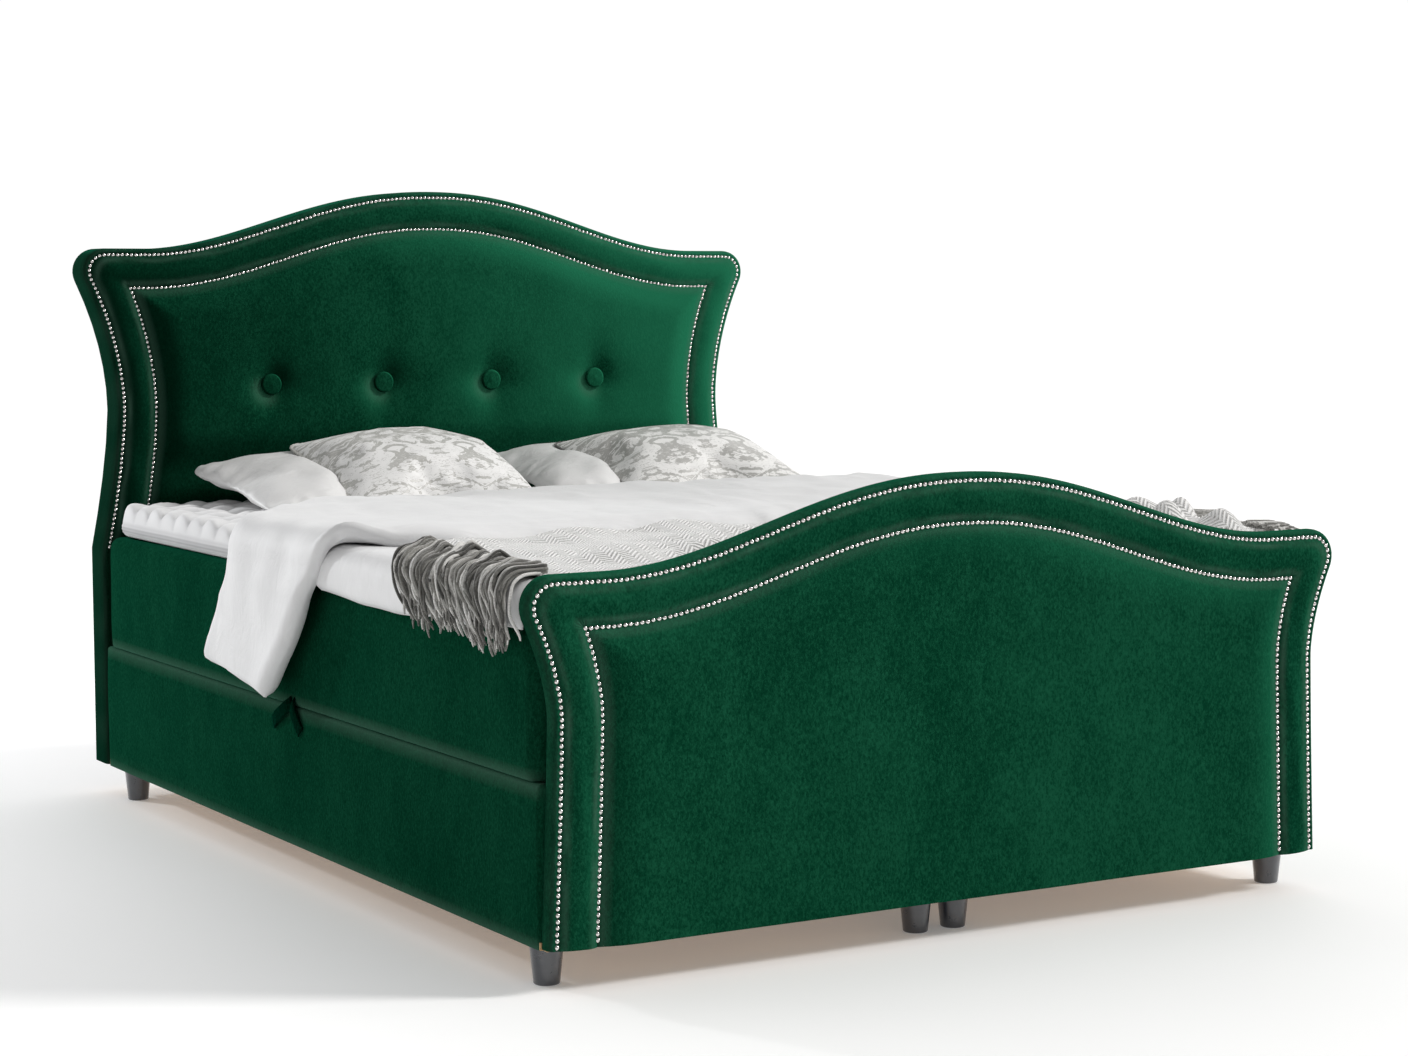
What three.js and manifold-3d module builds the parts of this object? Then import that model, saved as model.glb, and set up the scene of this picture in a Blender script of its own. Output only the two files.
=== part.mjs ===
// Upholstered bed with a crowned headboard and footboard, two storage boxes side by side,
// and a sprung lid on each box that tilts up at its outer side.
// Millimetres. X runs across the bed, +Y towards the headboard, +Z up. The floor is z = 0 and
// x = 0 is the line between the two boxes.
import * as THREE from 'three';
import { mergeVertices } from 'three/addons/utils/BufferGeometryUtils.js';
import Module from 'manifold-3d';

const wasm = await Module();
wasm.setup();

// ---------- driving dimensions ----------
const GAP = 0.3;                    // between pieces that touch
const BED_HALF = 800;               // half width of the two boxes together
const MIDDLE_GAP = 2;               // each box and lid stops this far from the centre line

const FOOT_HEIGHT = 70;
const FOOT_TOP_R = 28.5;
const FOOT_BOTTOM_R = 22;
const FOOT_FROM_SIDE = 42;
const FOOT_FROM_MIDDLE = 39.5;
const FOOT_FROM_END = 60;

const FLOOR_BOARD = 12;
const BOX_TOP = 334;                // the seam between the boxes and their lids
const BOX_WALL = 24;
const LID_TOP = 575;
const LID_WALL = 20;
const LID_ROOF = 25;
const LID_CORNER_R = 25;
const LID_BOARD = 18;
const HEEL_WIDTH = 10;              // the lid's lower inner edge is cut back so that it clears the
const HEEL_HEIGHT = 2;              // box as it starts to tilt
const END_CLEARANCE = 17.5;         // at each end of a lid, for the hinge plates

const BOX_Y0 = 16.5;                // the footboard's back is just in front of this
const BOX_Y1 = 2079;                // the headboard's padding starts just behind this
const CENTRE_Y = (BOX_Y0 + BOX_Y1) / 2;
const LID_Y0 = BOX_Y0 + END_CLEARANCE;
const LID_Y1 = BOX_Y1 - END_CLEARANCE;

const HINGE_X = 20;                 // each lid's axis, beside the centre line
const HINGE_Z = 700;
const PIN_R = 6;
const PIN_HOLE_R = 6.5;
const PLATE = 4;
const POST = 5;
const POST_HALF = 45;

const STRUT_FOOT = { x: 62, z: 110 };
const STRUT_HEAD = { x: 340, z: 316 };
const STRUT_FROM_WALL = 15;
const CYLINDER_R = 9;
const CYLINDER_LENGTH = 292;
const BORE_R = 4.6;
const ROD_R = 4;
const BALL_R = 8;
const STUD_R = 4;

// The two boards share one template: the same crown, shoulders and corners.
const CORNER_R = 36;
const CORNER_X = 820;               // the nail line's widest point
const CORNER_ANGLE = THREE.MathUtils.degToRad(25);
const CROWN_RISE = 133;
const CROWN_HALF = 690;
const CROWN_POWER = 1.1;
const EDGE = 12;                    // from the outer nails out to the board's edge
const BORDER = 72;                  // from the outer nails in to the inner nails
const HEADBOARD = { shoulderZ: 1187, waistX: 747, waistZ: 847, lowX: 789, lowZ: 542, lowPower: 1.5 };
const FOOTBOARD = { shoulderZ: 653, waistX: 772, waistZ: 437, lowX: 784, lowZ: 72, lowPower: 1.2 };
const BOARD_BOTTOM = FOOT_HEIGHT + GAP;

const FOOT_BOARD = 16;
const BORDER_PAD = 12;
const CENTRE_PAD = 20;
const HEAD_BOARD = 18;
const HEAD_FRONT = 2100;            // the headboard's board starts here, behind its padding
const BATTEN = 45;
const BATTEN_DEPTH = 48;
const BACK_COVER = 4;
const TRIM_WIDTH = 9.5;
const TRIM_THICK = 2.3;

const BUTTON_Z = 899;
const BUTTON_PITCH = 274;
const BUTTON_R = 24;
const BUTTON_THICK = 13;

const TOPPER_HALF = 784;
const TOPPER_TOP = 621;
const TOPPER_Y1 = 2037;
const DUVET_TOP = 656;
const DUVET_FOLD_TOP = 686;
const DUVET_Y1 = 1500;
const DUVET_FOLD = 630;
const DUVET_HALF = 812;
const THROW_TOP = 668;
const THROW_Y1 = 790;
const THROW_HALF = 823;

// ---------- materials ----------
const finish = (color, roughness, metalness = 0) =>
  new THREE.MeshStandardMaterial({ color, roughness, metalness });
const velvet = () => finish(0x0c5a38, 0.8);
const backCloth = () => finish(0x1b1d1c, 0.9);
const timber = () => finish(0xc49a63, 0.7);
const springCloth = () => finish(0xe6e2d8, 0.9);
const whiteCotton = () => finish(0xf0eeec, 0.85);
const throwWool = () => finish(0xc9c8c2, 0.95);
const damask = () => finish(0xd9d7d2, 0.6);
const nailSteel = () => finish(0xc8c8c6, 0.25, 1);
const zincSteel = () => finish(0x9a9da0, 0.4, 1);
const blackSteel = () => finish(0x1d1e20, 0.4, 0.6);
const footPlastic = () => finish(0x2a2b2f, 0.3);

// ---------- shape helpers ----------
const box = (x0, x1, y0, y1, z0, z1) =>
  new THREE.BoxGeometry(x1 - x0, y1 - y0, z1 - z0)
    .translate((x0 + x1) / 2, (y0 + y1) / 2, (z0 + z1) / 2);

const shapeOf = (points) => new THREE.Shape(points.map(([a, b]) => new THREE.Vector2(a, b)));

// An outline in X and Z, extruded from y0 to y1.
function extrudeAlongY(points, y0, y1) {
  const solid = new THREE.ExtrudeGeometry(shapeOf(points), { depth: y1 - y0, bevelEnabled: false });
  return solid.rotateX(Math.PI / 2).translate(0, y1, 0);
}

// An outline in Y and Z, extruded from x0 to x1, with rounded ends of the given size.
function extrudeAlongX(points, x0, x1, round = 0) {
  const solid = new THREE.ExtrudeGeometry(shapeOf(points), {
    depth: x1 - x0 - 2 * round,
    bevelEnabled: round > 0,
    bevelThickness: round,
    bevelSize: round * 0.6,
    bevelOffset: -round * 0.6,
    bevelSegments: 2,
  });
  const axes = new THREE.Matrix4().makeBasis(
    new THREE.Vector3(0, 1, 0), new THREE.Vector3(0, 0, 1), new THREE.Vector3(1, 0, 0));
  return solid.applyMatrix4(axes).translate(x0 + round, 0, 0);
}

// A rod along Y.
const rodAlongY = (x, z, y0, y1, radius, sides = 24) =>
  new THREE.CylinderGeometry(radius, radius, y1 - y0, sides).translate(x, (y0 + y1) / 2, z);

function toSolid(geometry) {
  const bare = geometry.clone();
  bare.deleteAttribute('normal');
  bare.deleteAttribute('uv');
  const merged = mergeVertices(bare, 1e-4);
  return new wasm.Manifold(new wasm.Mesh({
    numProp: 3,
    vertProperties: new Float32Array(merged.attributes.position.array),
    triVerts: new Uint32Array(merged.index.array),
  }));
}

function toGeometry(solid) {
  const mesh = solid.getMesh();
  const geometry = new THREE.BufferGeometry();
  geometry.setAttribute('position', new THREE.BufferAttribute(mesh.vertProperties, 3));
  geometry.setIndex(new THREE.BufferAttribute(mesh.triVerts, 1));
  geometry.computeVertexNormals();
  return geometry;
}

const join = (...pieces) => toGeometry(pieces.map(toSolid).reduce((a, b) => a.add(b)));
const cut = (body, ...tools) =>
  toGeometry(tools.map(toSolid).reduce((a, b) => a.subtract(b), toSolid(body)));

// ---------- the boards' outline ----------
// The outer nail line's right half, from the bottom to the crown.
function nailLine(board) {
  const { shoulderZ, waistX, waistZ, lowX, lowZ, lowPower } = board;
  const centreX = CORNER_X - CORNER_R;
  const centreZ = shoulderZ - CORNER_R;
  const flareX = centreX + CORNER_R * Math.cos(CORNER_ANGLE);
  const flareZ = centreZ - CORNER_R * Math.sin(CORNER_ANGLE);
  const flarePower = Math.tan(CORNER_ANGLE) * (flareZ - waistZ) / (flareX - waistX);
  const points = [];
  for (let i = 0; i < 4; i++) {
    const u = 1 - i / 4;
    points.push([waistX + (lowX - waistX) * u ** lowPower, waistZ - (waistZ - lowZ) * u]);
  }
  for (let i = 0; i < 6; i++) {
    const u = i / 6;
    points.push([waistX + (flareX - waistX) * u ** flarePower, waistZ + (flareZ - waistZ) * u]);
  }
  for (let i = 0; i <= 5; i++) {
    const angle = -CORNER_ANGLE + (Math.PI / 2 + CORNER_ANGLE) * i / 5;
    points.push([centreX + CORNER_R * Math.cos(angle), centreZ + CORNER_R * Math.sin(angle)]);
  }
  for (let i = 0; i <= 11; i++) {
    const x = CROWN_HALF * (1 - i / 11);
    const bell = 0.5 * (1 + Math.cos(Math.PI * (x / CROWN_HALF) ** CROWN_POWER));
    points.push([x, shoulderZ + CROWN_RISE * bell]);
  }
  return points;
}

const distanceToSegment = (p, a, b) => {
  const [dx, dz] = [b[0] - a[0], b[1] - a[1]];
  const t = THREE.MathUtils.clamp(
    ((p[0] - a[0]) * dx + (p[1] - a[1]) * dz) / (dx * dx + dz * dz), 0, 1);
  return Math.hypot(p[0] - a[0] - t * dx, p[1] - a[1] - t * dz);
};

// The same line moved inwards, or outwards when inset is negative. Points that an inward move
// would carry past a neighbouring stretch are left out, and the two stretches are carried on to
// where they meet, which gives a sharp inner corner.
function insetLine(line, inset) {
  const isClear = (point) => line.slice(1).every((end, i) =>
    distanceToSegment(point, line[i], end) > Math.abs(inset) - 1.5);
  const kept = [];
  let corner = -1;
  line.forEach((point, i) => {
    const before = line[Math.max(i - 1, 0)];
    const after = line[Math.min(i + 1, line.length - 1)];
    const isCrown = i === line.length - 1;
    const [tx, tz] = isCrown ? [-1, 0] : [after[0] - before[0], after[1] - before[1]];
    const length = Math.hypot(tx, tz);
    const moved = [point[0] - inset * tz / length, point[1] + inset * tx / length];
    if (isClear(moved)) kept.push(moved);
    else corner = kept.length;
  });
  if (corner > 1) {
    kept.splice(corner, 0, meeting(kept[corner - 2], kept[corner - 1], kept[corner], kept[corner + 1]));
  }
  return kept;
}

// Where the line through a and b meets the line through c and d.
function meeting(a, b, c, d) {
  const [ux, uz, vx, vz] = [b[0] - a[0], b[1] - a[1], d[0] - c[0], d[1] - c[1]];
  const t = ((c[0] - a[0]) * vz - (c[1] - a[1]) * vx) / (ux * vz - uz * vx);
  return [a[0] + t * ux, a[1] + t * uz];
}

// Both halves of an inset line, from its left end over the crown to its right end. The line is
// cut off at the given height, or goes straight down to it.
function fullLine(board, inset, bottom) {
  const half = insetLine(nailLine(board), inset);
  const first = half.findIndex(([, z]) => z > bottom + 1);
  const [above, below] = [half[first], half[first - 1] ?? [half[first][0], bottom]];
  const t = (bottom - below[1]) / (above[1] - below[1]);
  const end = [below[0] + (above[0] - below[0]) * t, bottom];
  const right = [end, ...half.slice(first)];
  const left = right.map(([x, z]) => [-x, z]);
  return [...left, ...right.slice(0, -1).reverse()];
}

// A strip of constant width between two inset lines, like an arch.
const arch = (board, outer, inner, bottom) =>
  [...fullLine(board, outer, bottom), ...fullLine(board, inner, bottom).reverse()];

// ---------- the object ----------
const bed = new THREE.Group();
function add(name, geometry, material, parent = bed) {
  const mesh = new THREE.Mesh(geometry, material);
  mesh.name = name;
  parent.add(mesh);
}

const SIDES = [['left', -1], ['right', 1]];

// Geometry is drawn for the right side and turned over for the left one.
function mirrored(geometry, side) {
  if (side > 0) return geometry;
  const flipped = geometry.index ? geometry.toNonIndexed() : geometry.clone();
  flipped.scale(-1, 1, 1);
  const p = flipped.attributes.position;
  for (let i = 0; i < p.count; i += 3) {
    const [x, y, z] = [p.getX(i + 1), p.getY(i + 1), p.getZ(i + 1)];
    p.setXYZ(i + 1, p.getX(i + 2), p.getY(i + 2), p.getZ(i + 2));
    p.setXYZ(i + 2, x, y, z);
  }
  return flipped;
}

function addFeet() {
  const bottom = FOOT_BOTTOM_R;
  const profile = [[0, 0], [bottom - 4, 0], [bottom, 5], [FOOT_TOP_R, FOOT_HEIGHT], [0, FOOT_HEIGHT]];
  const foot = new THREE.LatheGeometry(profile.map(([r, z]) => new THREE.Vector2(r, z)), 24)
    .rotateX(Math.PI / 2);
  const ends = [['foot', BOX_Y0 + FOOT_FROM_END], ['head', BOX_Y1 - FOOT_FROM_END]];
  const columns = [['outer', BED_HALF - FOOT_FROM_SIDE], ['middle', FOOT_FROM_MIDDLE]];
  for (const [sideName, side] of SIDES) {
    for (const [endName, y] of ends) {
      for (const [columnName, x] of columns) {
        const place = foot.clone().translate(side * x, y, 0);
        add(`leg_${sideName}_${endName}_${columnName}`, place, footPlastic());
      }
    }
  }
}

const STRUT_ENDS = [
  ['foot', BOX_Y0 + BOX_WALL + STRUT_FROM_WALL, -1],
  ['head', BOX_Y1 - BOX_WALL - STRUT_FROM_WALL, 1],
];

// One storage box: a floor board on the feet, and four walls with a ball stud at each end for
// the gas struts.
function addStorageBox(sideName, side) {
  const floorTop = FOOT_HEIGHT + GAP + FLOOR_BOARD;
  const floor = box(MIDDLE_GAP, BED_HALF, BOX_Y0, BOX_Y1, FOOT_HEIGHT + GAP, floorTop);
  add(`${sideName}_box_floor`, mirrored(floor, side), timber());
  const outside = box(MIDDLE_GAP, BED_HALF, BOX_Y0, BOX_Y1, floorTop + GAP, BOX_TOP);
  const inside = box(MIDDLE_GAP + BOX_WALL, BED_HALF - BOX_WALL,
    BOX_Y0 + BOX_WALL, BOX_Y1 - BOX_WALL, floorTop - 10, BOX_TOP + 10);
  const studs = STRUT_ENDS.map(([, y, end]) => {
    const wall = y + end * STRUT_FROM_WALL;
    const tip = y + end * (BALL_R + 0.8);
    return rodAlongY(STRUT_FOOT.x, STRUT_FOOT.z, Math.min(wall + end, tip),
      Math.max(wall + end, tip), STUD_R, 12);
  });
  add(`${sideName}_box_walls`, mirrored(join(cut(outside, inside), ...studs), side), velvet());
}

// One lid: a base board, the pocket spring unit on it and a padded velvet cover over both.
function addLid(sideName, side) {
  const bottom = BOX_TOP + GAP;
  const [x0, x1] = [MIDDLE_GAP, BED_HALF];
  const outline = new THREE.Shape();
  const [w, l, r] = [x1 - x0, LID_Y1 - LID_Y0, LID_CORNER_R];
  outline.moveTo(0, 0).lineTo(w - r, 0);
  outline.absarc(w - r, r, r, -Math.PI / 2, 0, false);
  outline.lineTo(w, l - r);
  outline.absarc(w - r, l - r, r, 0, Math.PI / 2, false);
  outline.lineTo(0, l);
  const block = new THREE.ExtrudeGeometry(outline,
    { depth: LID_TOP - bottom, bevelEnabled: false, curveSegments: 5 }).translate(x0, LID_Y0, bottom);
  const inner = [x0 + LID_WALL, x1 - LID_WALL, LID_Y0 + LID_WALL, LID_Y1 - LID_WALL];
  const cover = cut(block, box(...inner, bottom - 10, LID_TOP - LID_ROOF),
    box(x0 - 5, x0 + HEEL_WIDTH, LID_Y0 - 5, LID_Y1 + 5, bottom - 5, bottom + HEEL_HEIGHT));
  add(`${sideName}_lid_cover`, mirrored(cover, side), velvet());

  const fill = [inner[0] + GAP, inner[1] - GAP, inner[2] + GAP, inner[3] - GAP];
  const ears = STRUT_ENDS.map(([, y, end]) => {
    const near = y - end * (BALL_R + 0.8);
    const far = near - end * PLATE;
    return box(STRUT_HEAD.x - 16, STRUT_HEAD.x + 16, Math.min(near, far), Math.max(near, far),
      STRUT_HEAD.z - 14, bottom + 1);
  });
  add(`${sideName}_lid_board`,
    mirrored(join(box(...fill, bottom, bottom + LID_BOARD), ...ears), side), timber());
  const springs = box(...fill, bottom + LID_BOARD + GAP, LID_TOP - LID_ROOF - GAP);
  add(`${sideName}_spring_unit`, mirrored(springs, side), springCloth());
}

// The webbing loop that opens a lid: one tail hangs straight, the other is swept to the head.
function addPullStrap(sideName, side) {
  const top = BOX_TOP + 14;
  const y = CENTRE_Y - 55;
  const outline = [[y - 28, 278], [y + 4, 276], [y + 8, 306], [y + 56, 270], [y + 82, 290],
    [y + 34, top], [y - 24, top]];
  const strap = extrudeAlongX(outline, BED_HALF + GAP, BED_HALF + 8);
  add(`${sideName}_pull_strap`, mirrored(strap, side), velvet());
}

// Each end of a lid hangs from a plate, and the plates turn on the two pins of a post.
function addHingePlates(sideName, side) {
  const outline = [[8, LID_TOP - 150], [118, LID_TOP - 150], [118, LID_TOP - 60], [60, LID_TOP - 25],
    [38, HINGE_Z - 12]];
  for (let i = 0; i <= 8; i++) {
    const angle = Math.PI * i / 8;
    outline.push([HINGE_X + 16 * Math.cos(angle), HINGE_Z + 16 * Math.sin(angle)]);
  }
  outline.push([4, HINGE_Z - 12]);
  const ends = [['foot', LID_Y0 - GAP - PLATE], ['head', LID_Y1 + GAP]];
  for (const [endName, y] of ends) {
    const plate = cut(extrudeAlongY(outline, y, y + PLATE),
      rodAlongY(HINGE_X, HINGE_Z, y - 5, y + PLATE + 5, PIN_HOLE_R));
    add(`${sideName}_${endName}_hinge_plate`, mirrored(plate, side), zincSteel());
  }
}

function addHingePosts() {
  const low = BOX_TOP + GAP;
  const outline = [[-POST_HALF, low], [POST_HALF, low], [POST_HALF, LID_TOP - 170],
    [38, HINGE_Z + 4], [26, HINGE_Z + 18], [-26, HINGE_Z + 18], [-38, HINGE_Z + 4],
    [-POST_HALF, LID_TOP - 170]];
  const ends = [['foot', LID_Y0 - GAP - PLATE - 0.7 - POST, 1], ['head', LID_Y1 + GAP + PLATE + 0.7, -1]];
  for (const [endName, y, inward] of ends) {
    const pinFrom = inward > 0 ? y + 1 : y - PLATE - 0.6;
    const pins = [-HINGE_X, HINGE_X].map((x) =>
      rodAlongY(x, HINGE_Z, pinFrom, pinFrom + POST + PLATE - 0.4, PIN_R));
    const flangeFrom = inward > 0 ? y - 6.5 : y + 1;
    const flange = box(-POST_HALF, POST_HALF, flangeFrom, flangeFrom + POST + 5.5, low, low + 4);
    add(`${endName}_hinge_post`, join(extrudeAlongY(outline, y, y + POST), flange, ...pins), zincSteel());
  }
}

// A gas strut lies along a line in X and Z, from its ball on the box to its ball on the lid.
function addStruts(sideName, side) {
  const run = STRUT_HEAD.x - STRUT_FOOT.x;
  const rise = STRUT_HEAD.z - STRUT_FOOT.z;
  const length = Math.hypot(run, rise);
  const neck = BALL_R - 1;
  const ball = (centre, from, to) => Array.from({ length: 5 }, (_, i) => {
    const angle = from + (to - from) * i / 4;
    return [BALL_R * Math.cos(angle), centre + BALL_R * Math.sin(angle)];
  });
  const cylinderProfile = [[0, -BALL_R], ...ball(0, -1.2, 1.0), [5, 16], [CYLINDER_R, 18],
    [CYLINDER_R, CYLINDER_LENGTH], [BORE_R, CYLINDER_LENGTH], [BORE_R, 24], [0, 24]];
  const rodProfile = [[0, 28], [ROD_R, 28], [ROD_R, length - neck], ...ball(length, -0.9, 1.2),
    [0, length + BALL_R]];
  const lathe = (profile) =>
    new THREE.LatheGeometry(profile.map(([r, s]) => new THREE.Vector2(r, s)), 16)
      .rotateZ(Math.atan2(rise, run) - Math.PI / 2)
      .rotateX(Math.PI / 2);
  for (const [endName, y] of STRUT_ENDS) {
    const place = (profile) => lathe(profile).translate(STRUT_FOOT.x, y, STRUT_FOOT.z);
    add(`${sideName}_${endName}_strut_cylinder`, mirrored(place(cylinderProfile), side), blackSteel());
    add(`${sideName}_${endName}_strut_rod`, mirrored(place(rodProfile), side), zincSteel());
  }
}

function addFootboard() {
  const board = FOOTBOARD;
  add('footboard_core', extrudeAlongY(fullLine(board, -EDGE, BOARD_BOTTOM), GAP, FOOT_BOARD), timber());
  add('footboard_border_pad',
    extrudeAlongY(arch(board, -EDGE, BORDER + 5, BOARD_BOTTOM), -BORDER_PAD, 0), velvet());
  add('footboard_centre_pad',
    extrudeAlongY(fullLine(board, BORDER + 8, BOARD_BOTTOM), -CENTRE_PAD, 0), velvet());
  addNailTrims('footboard', board, -BORDER_PAD - GAP, BOARD_BOTTOM + 4);
}

function addHeadboard() {
  const board = HEADBOARD;
  const outline = fullLine(board, -EDGE, BOARD_BOTTOM);
  const boardBack = HEAD_FRONT + HEAD_BOARD;
  const battenBack = boardBack + GAP + BATTEN_DEPTH;
  add('headboard_core', extrudeAlongY(outline, HEAD_FRONT + GAP, boardBack), timber());
  const hollow = fullLine(board, BATTEN - EDGE, BOARD_BOTTOM + BATTEN);
  const frame = cut(extrudeAlongY(outline, boardBack + GAP, battenBack),
    extrudeAlongY(hollow, boardBack - 5, battenBack + 5));
  add('headboard_rear_frame', frame, timber());
  add('headboard_back_cover',
    extrudeAlongY(outline, battenBack + GAP, battenBack + GAP + BACK_COVER), backCloth());
  const borderFront = HEAD_FRONT - BORDER_PAD;
  add('headboard_border_pad',
    extrudeAlongY(arch(board, -EDGE, BORDER + 5, BOARD_BOTTOM), borderFront, HEAD_FRONT), velvet());
  const centreFront = HEAD_FRONT - CENTRE_PAD;
  add('headboard_centre_pad',
    extrudeAlongY(fullLine(board, BORDER + 8, BOARD_BOTTOM), centreFront, HEAD_FRONT), velvet());
  addNailTrims('headboard', board, borderFront - GAP, board.lowZ + 3);
  const dome = [[0, 0], [BUTTON_R, 0], [BUTTON_R, 5], [BUTTON_R - 4, 10], [BUTTON_R / 2, BUTTON_THICK],
    [0, BUTTON_THICK]].map(([r, h]) => new THREE.Vector2(r, h));
  for (let i = 0; i < 4; i++) {
    const button = new THREE.LatheGeometry(dome, 20).rotateX(Math.PI)
      .translate((i - 1.5) * BUTTON_PITCH, centreFront - GAP, BUTTON_Z);
    add(`headboard_button_${i + 1}`, button, velvet());
  }
}

// Two rows of nails on a continuous strip, one near the board's edge and one inside the border.
function addNailTrims(name, board, back, bottom) {
  const half = TRIM_WIDTH / 2;
  for (const [row, inset] of [['outer', 0], ['inner', BORDER - 1.5]]) {
    const band = arch(board, inset - half, inset + half, bottom);
    add(`${name}_${row}_nail_trim`, extrudeAlongY(band, back - TRIM_THICK, back), nailSteel());
  }
}

// ---------- bedding ----------
function addBedding(sideName, side) {
  const inner = MIDDLE_GAP;
  const topper = box(inner, TOPPER_HALF, LID_Y0 + 2, TOPPER_Y1, LID_TOP + GAP, TOPPER_TOP);
  add(`${sideName}_topper`, mirrored(topper, side), whiteCotton());

  const top = TOPPER_TOP + GAP;
  const foldFrom = DUVET_Y1 - DUVET_FOLD;
  const edge = TOPPER_HALF + 2;
  const duvet = [
    box(inner, DUVET_HALF, LID_Y0 + 6, DUVET_Y1, top, DUVET_TOP),
    box(edge, DUVET_HALF, LID_Y0 + 6, foldFrom - 30, LID_TOP + 2, DUVET_TOP),
    box(inner, DUVET_HALF + 14, foldFrom, DUVET_Y1, DUVET_TOP - 5, DUVET_FOLD_TOP),
    box(BED_HALF + 3, DUVET_HALF + 24, foldFrom + 140, DUVET_Y1 - 130,
      side < 0 ? BOX_TOP + 28 : LID_TOP - 90, DUVET_FOLD_TOP - 6),
  ];
  add(`${sideName}_duvet`, mirrored(join(...duvet), side), whiteCotton());

  const cloth = DUVET_TOP + GAP;
  const throwPieces = [
    box(inner, THROW_HALF, LID_Y0 + 12, THROW_Y1, cloth, THROW_TOP),
    box(DUVET_HALF + GAP, THROW_HALF, LID_Y0 + 12, THROW_Y1 - 220, LID_TOP - 18, THROW_TOP),
  ];
  add(`${sideName}_throw`, mirrored(join(...throwPieces), side), throwWool());
}

// A lens-shaped pad in Y and Z, tilted up towards the head.
function padOutline(centreY, centreZ, length, thick, tilt) {
  const points = [];
  for (let i = 0; i < 14; i++) {
    const angle = 2 * Math.PI * i / 14;
    const u = length / 2 * Math.cos(angle);
    const v = thick / 2 * Math.sign(Math.sin(angle)) * Math.abs(Math.sin(angle)) ** 0.8;
    points.push([centreY + u * Math.cos(tilt) - v * Math.sin(tilt),
      centreZ + u * Math.sin(tilt) + v * Math.cos(tilt)]);
  }
  return points;
}

function addPillows() {
  const whiteOutline = [[1800, 624], [2030, 624], [2050, 662], [2046, 712], [2010, 738], [1960, 735],
    [1900, 690], [1830, 648]];
  const tilt = THREE.MathUtils.degToRad(15);
  const cushion = (lift) => padOutline(1748, 712 + lift, 410, 120, tilt);
  add('left_pillow', extrudeAlongX(whiteOutline, -600, -80, 20), whiteCotton());
  add('right_pillow', extrudeAlongX(whiteOutline, 100, 620, 20), whiteCotton());
  add('left_cushion', extrudeAlongX(cushion(6), -445, 8, 30), damask());
  add('right_cushion', extrudeAlongX(cushion(0), 225, 735, 30), damask());
}

addFeet();
for (const [sideName, side] of SIDES) {
  addStorageBox(sideName, side);
  addLid(sideName, side);
  addPullStrap(sideName, side);
  addHingePlates(sideName, side);
  addStruts(sideName, side);
  addBedding(sideName, side);
}
addHingePosts();
addFootboard();
addHeadboard();
addPillows();

// The origin is on the floor below the middle of the whole bed.
const frontY = -CENTRE_PAD;
const backY = HEAD_FRONT + HEAD_BOARD + BATTEN_DEPTH + BACK_COVER + 2 * GAP;
bed.position.y = -(frontY + backY) / 2;

export default bed;
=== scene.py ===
# Upholstered bed with a crowned headboard and footboard, twin storage boxes, sprung lids and
# made-up bedding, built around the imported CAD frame. Metres, +Z up, headboard at +Y.
import itertools
import math

import bpy
import numpy as np
from mathutils import Matrix, Vector
from mathutils.bvhtree import BVHTree


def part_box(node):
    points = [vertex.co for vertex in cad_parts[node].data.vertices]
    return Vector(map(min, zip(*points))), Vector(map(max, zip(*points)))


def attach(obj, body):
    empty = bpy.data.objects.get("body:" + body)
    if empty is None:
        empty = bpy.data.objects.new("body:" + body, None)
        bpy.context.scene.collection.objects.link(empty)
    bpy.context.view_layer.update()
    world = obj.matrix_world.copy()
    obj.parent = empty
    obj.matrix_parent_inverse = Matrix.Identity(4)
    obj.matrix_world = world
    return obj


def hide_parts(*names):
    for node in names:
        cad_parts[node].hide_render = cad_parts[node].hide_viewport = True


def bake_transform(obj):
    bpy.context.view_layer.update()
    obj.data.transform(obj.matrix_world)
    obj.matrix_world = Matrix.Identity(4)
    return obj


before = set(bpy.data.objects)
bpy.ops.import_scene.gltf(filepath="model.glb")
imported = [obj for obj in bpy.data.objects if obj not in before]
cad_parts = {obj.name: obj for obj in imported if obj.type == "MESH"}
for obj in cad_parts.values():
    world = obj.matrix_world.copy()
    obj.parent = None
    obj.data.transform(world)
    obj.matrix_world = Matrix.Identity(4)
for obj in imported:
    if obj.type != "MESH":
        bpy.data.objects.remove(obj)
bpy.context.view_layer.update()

# ---------- places taken from the frame ----------
GAP = 0.0003                        # what touching pieces keep between them
FOOT_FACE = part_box("footboard_core")[0].y - GAP      # the footboard's padding starts here
FOOT_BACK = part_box("footboard_core")[1].y
HEAD_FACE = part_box("headboard_core")[0].y - GAP
HEAD_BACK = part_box("headboard_back_cover")[0].y
BOARD_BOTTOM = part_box("footboard_core")[0].z
BED_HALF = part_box("right_box_walls")[1].x
BOX_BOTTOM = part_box("right_box_floor")[0].z
BOX_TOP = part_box("right_box_walls")[1].z
LID_BOTTOM, LID_TOP = (corner.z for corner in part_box("right_lid_cover"))
TOPPER_LOW, TOPPER_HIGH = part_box("right_topper")
TOPPER_TOP = TOPPER_HIGH.z
DUVET_Y0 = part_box("right_duvet")[0].y
THROW_Y0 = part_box("right_throw")[0].y
SIDES = (("left", -1), ("right", 1))

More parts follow.
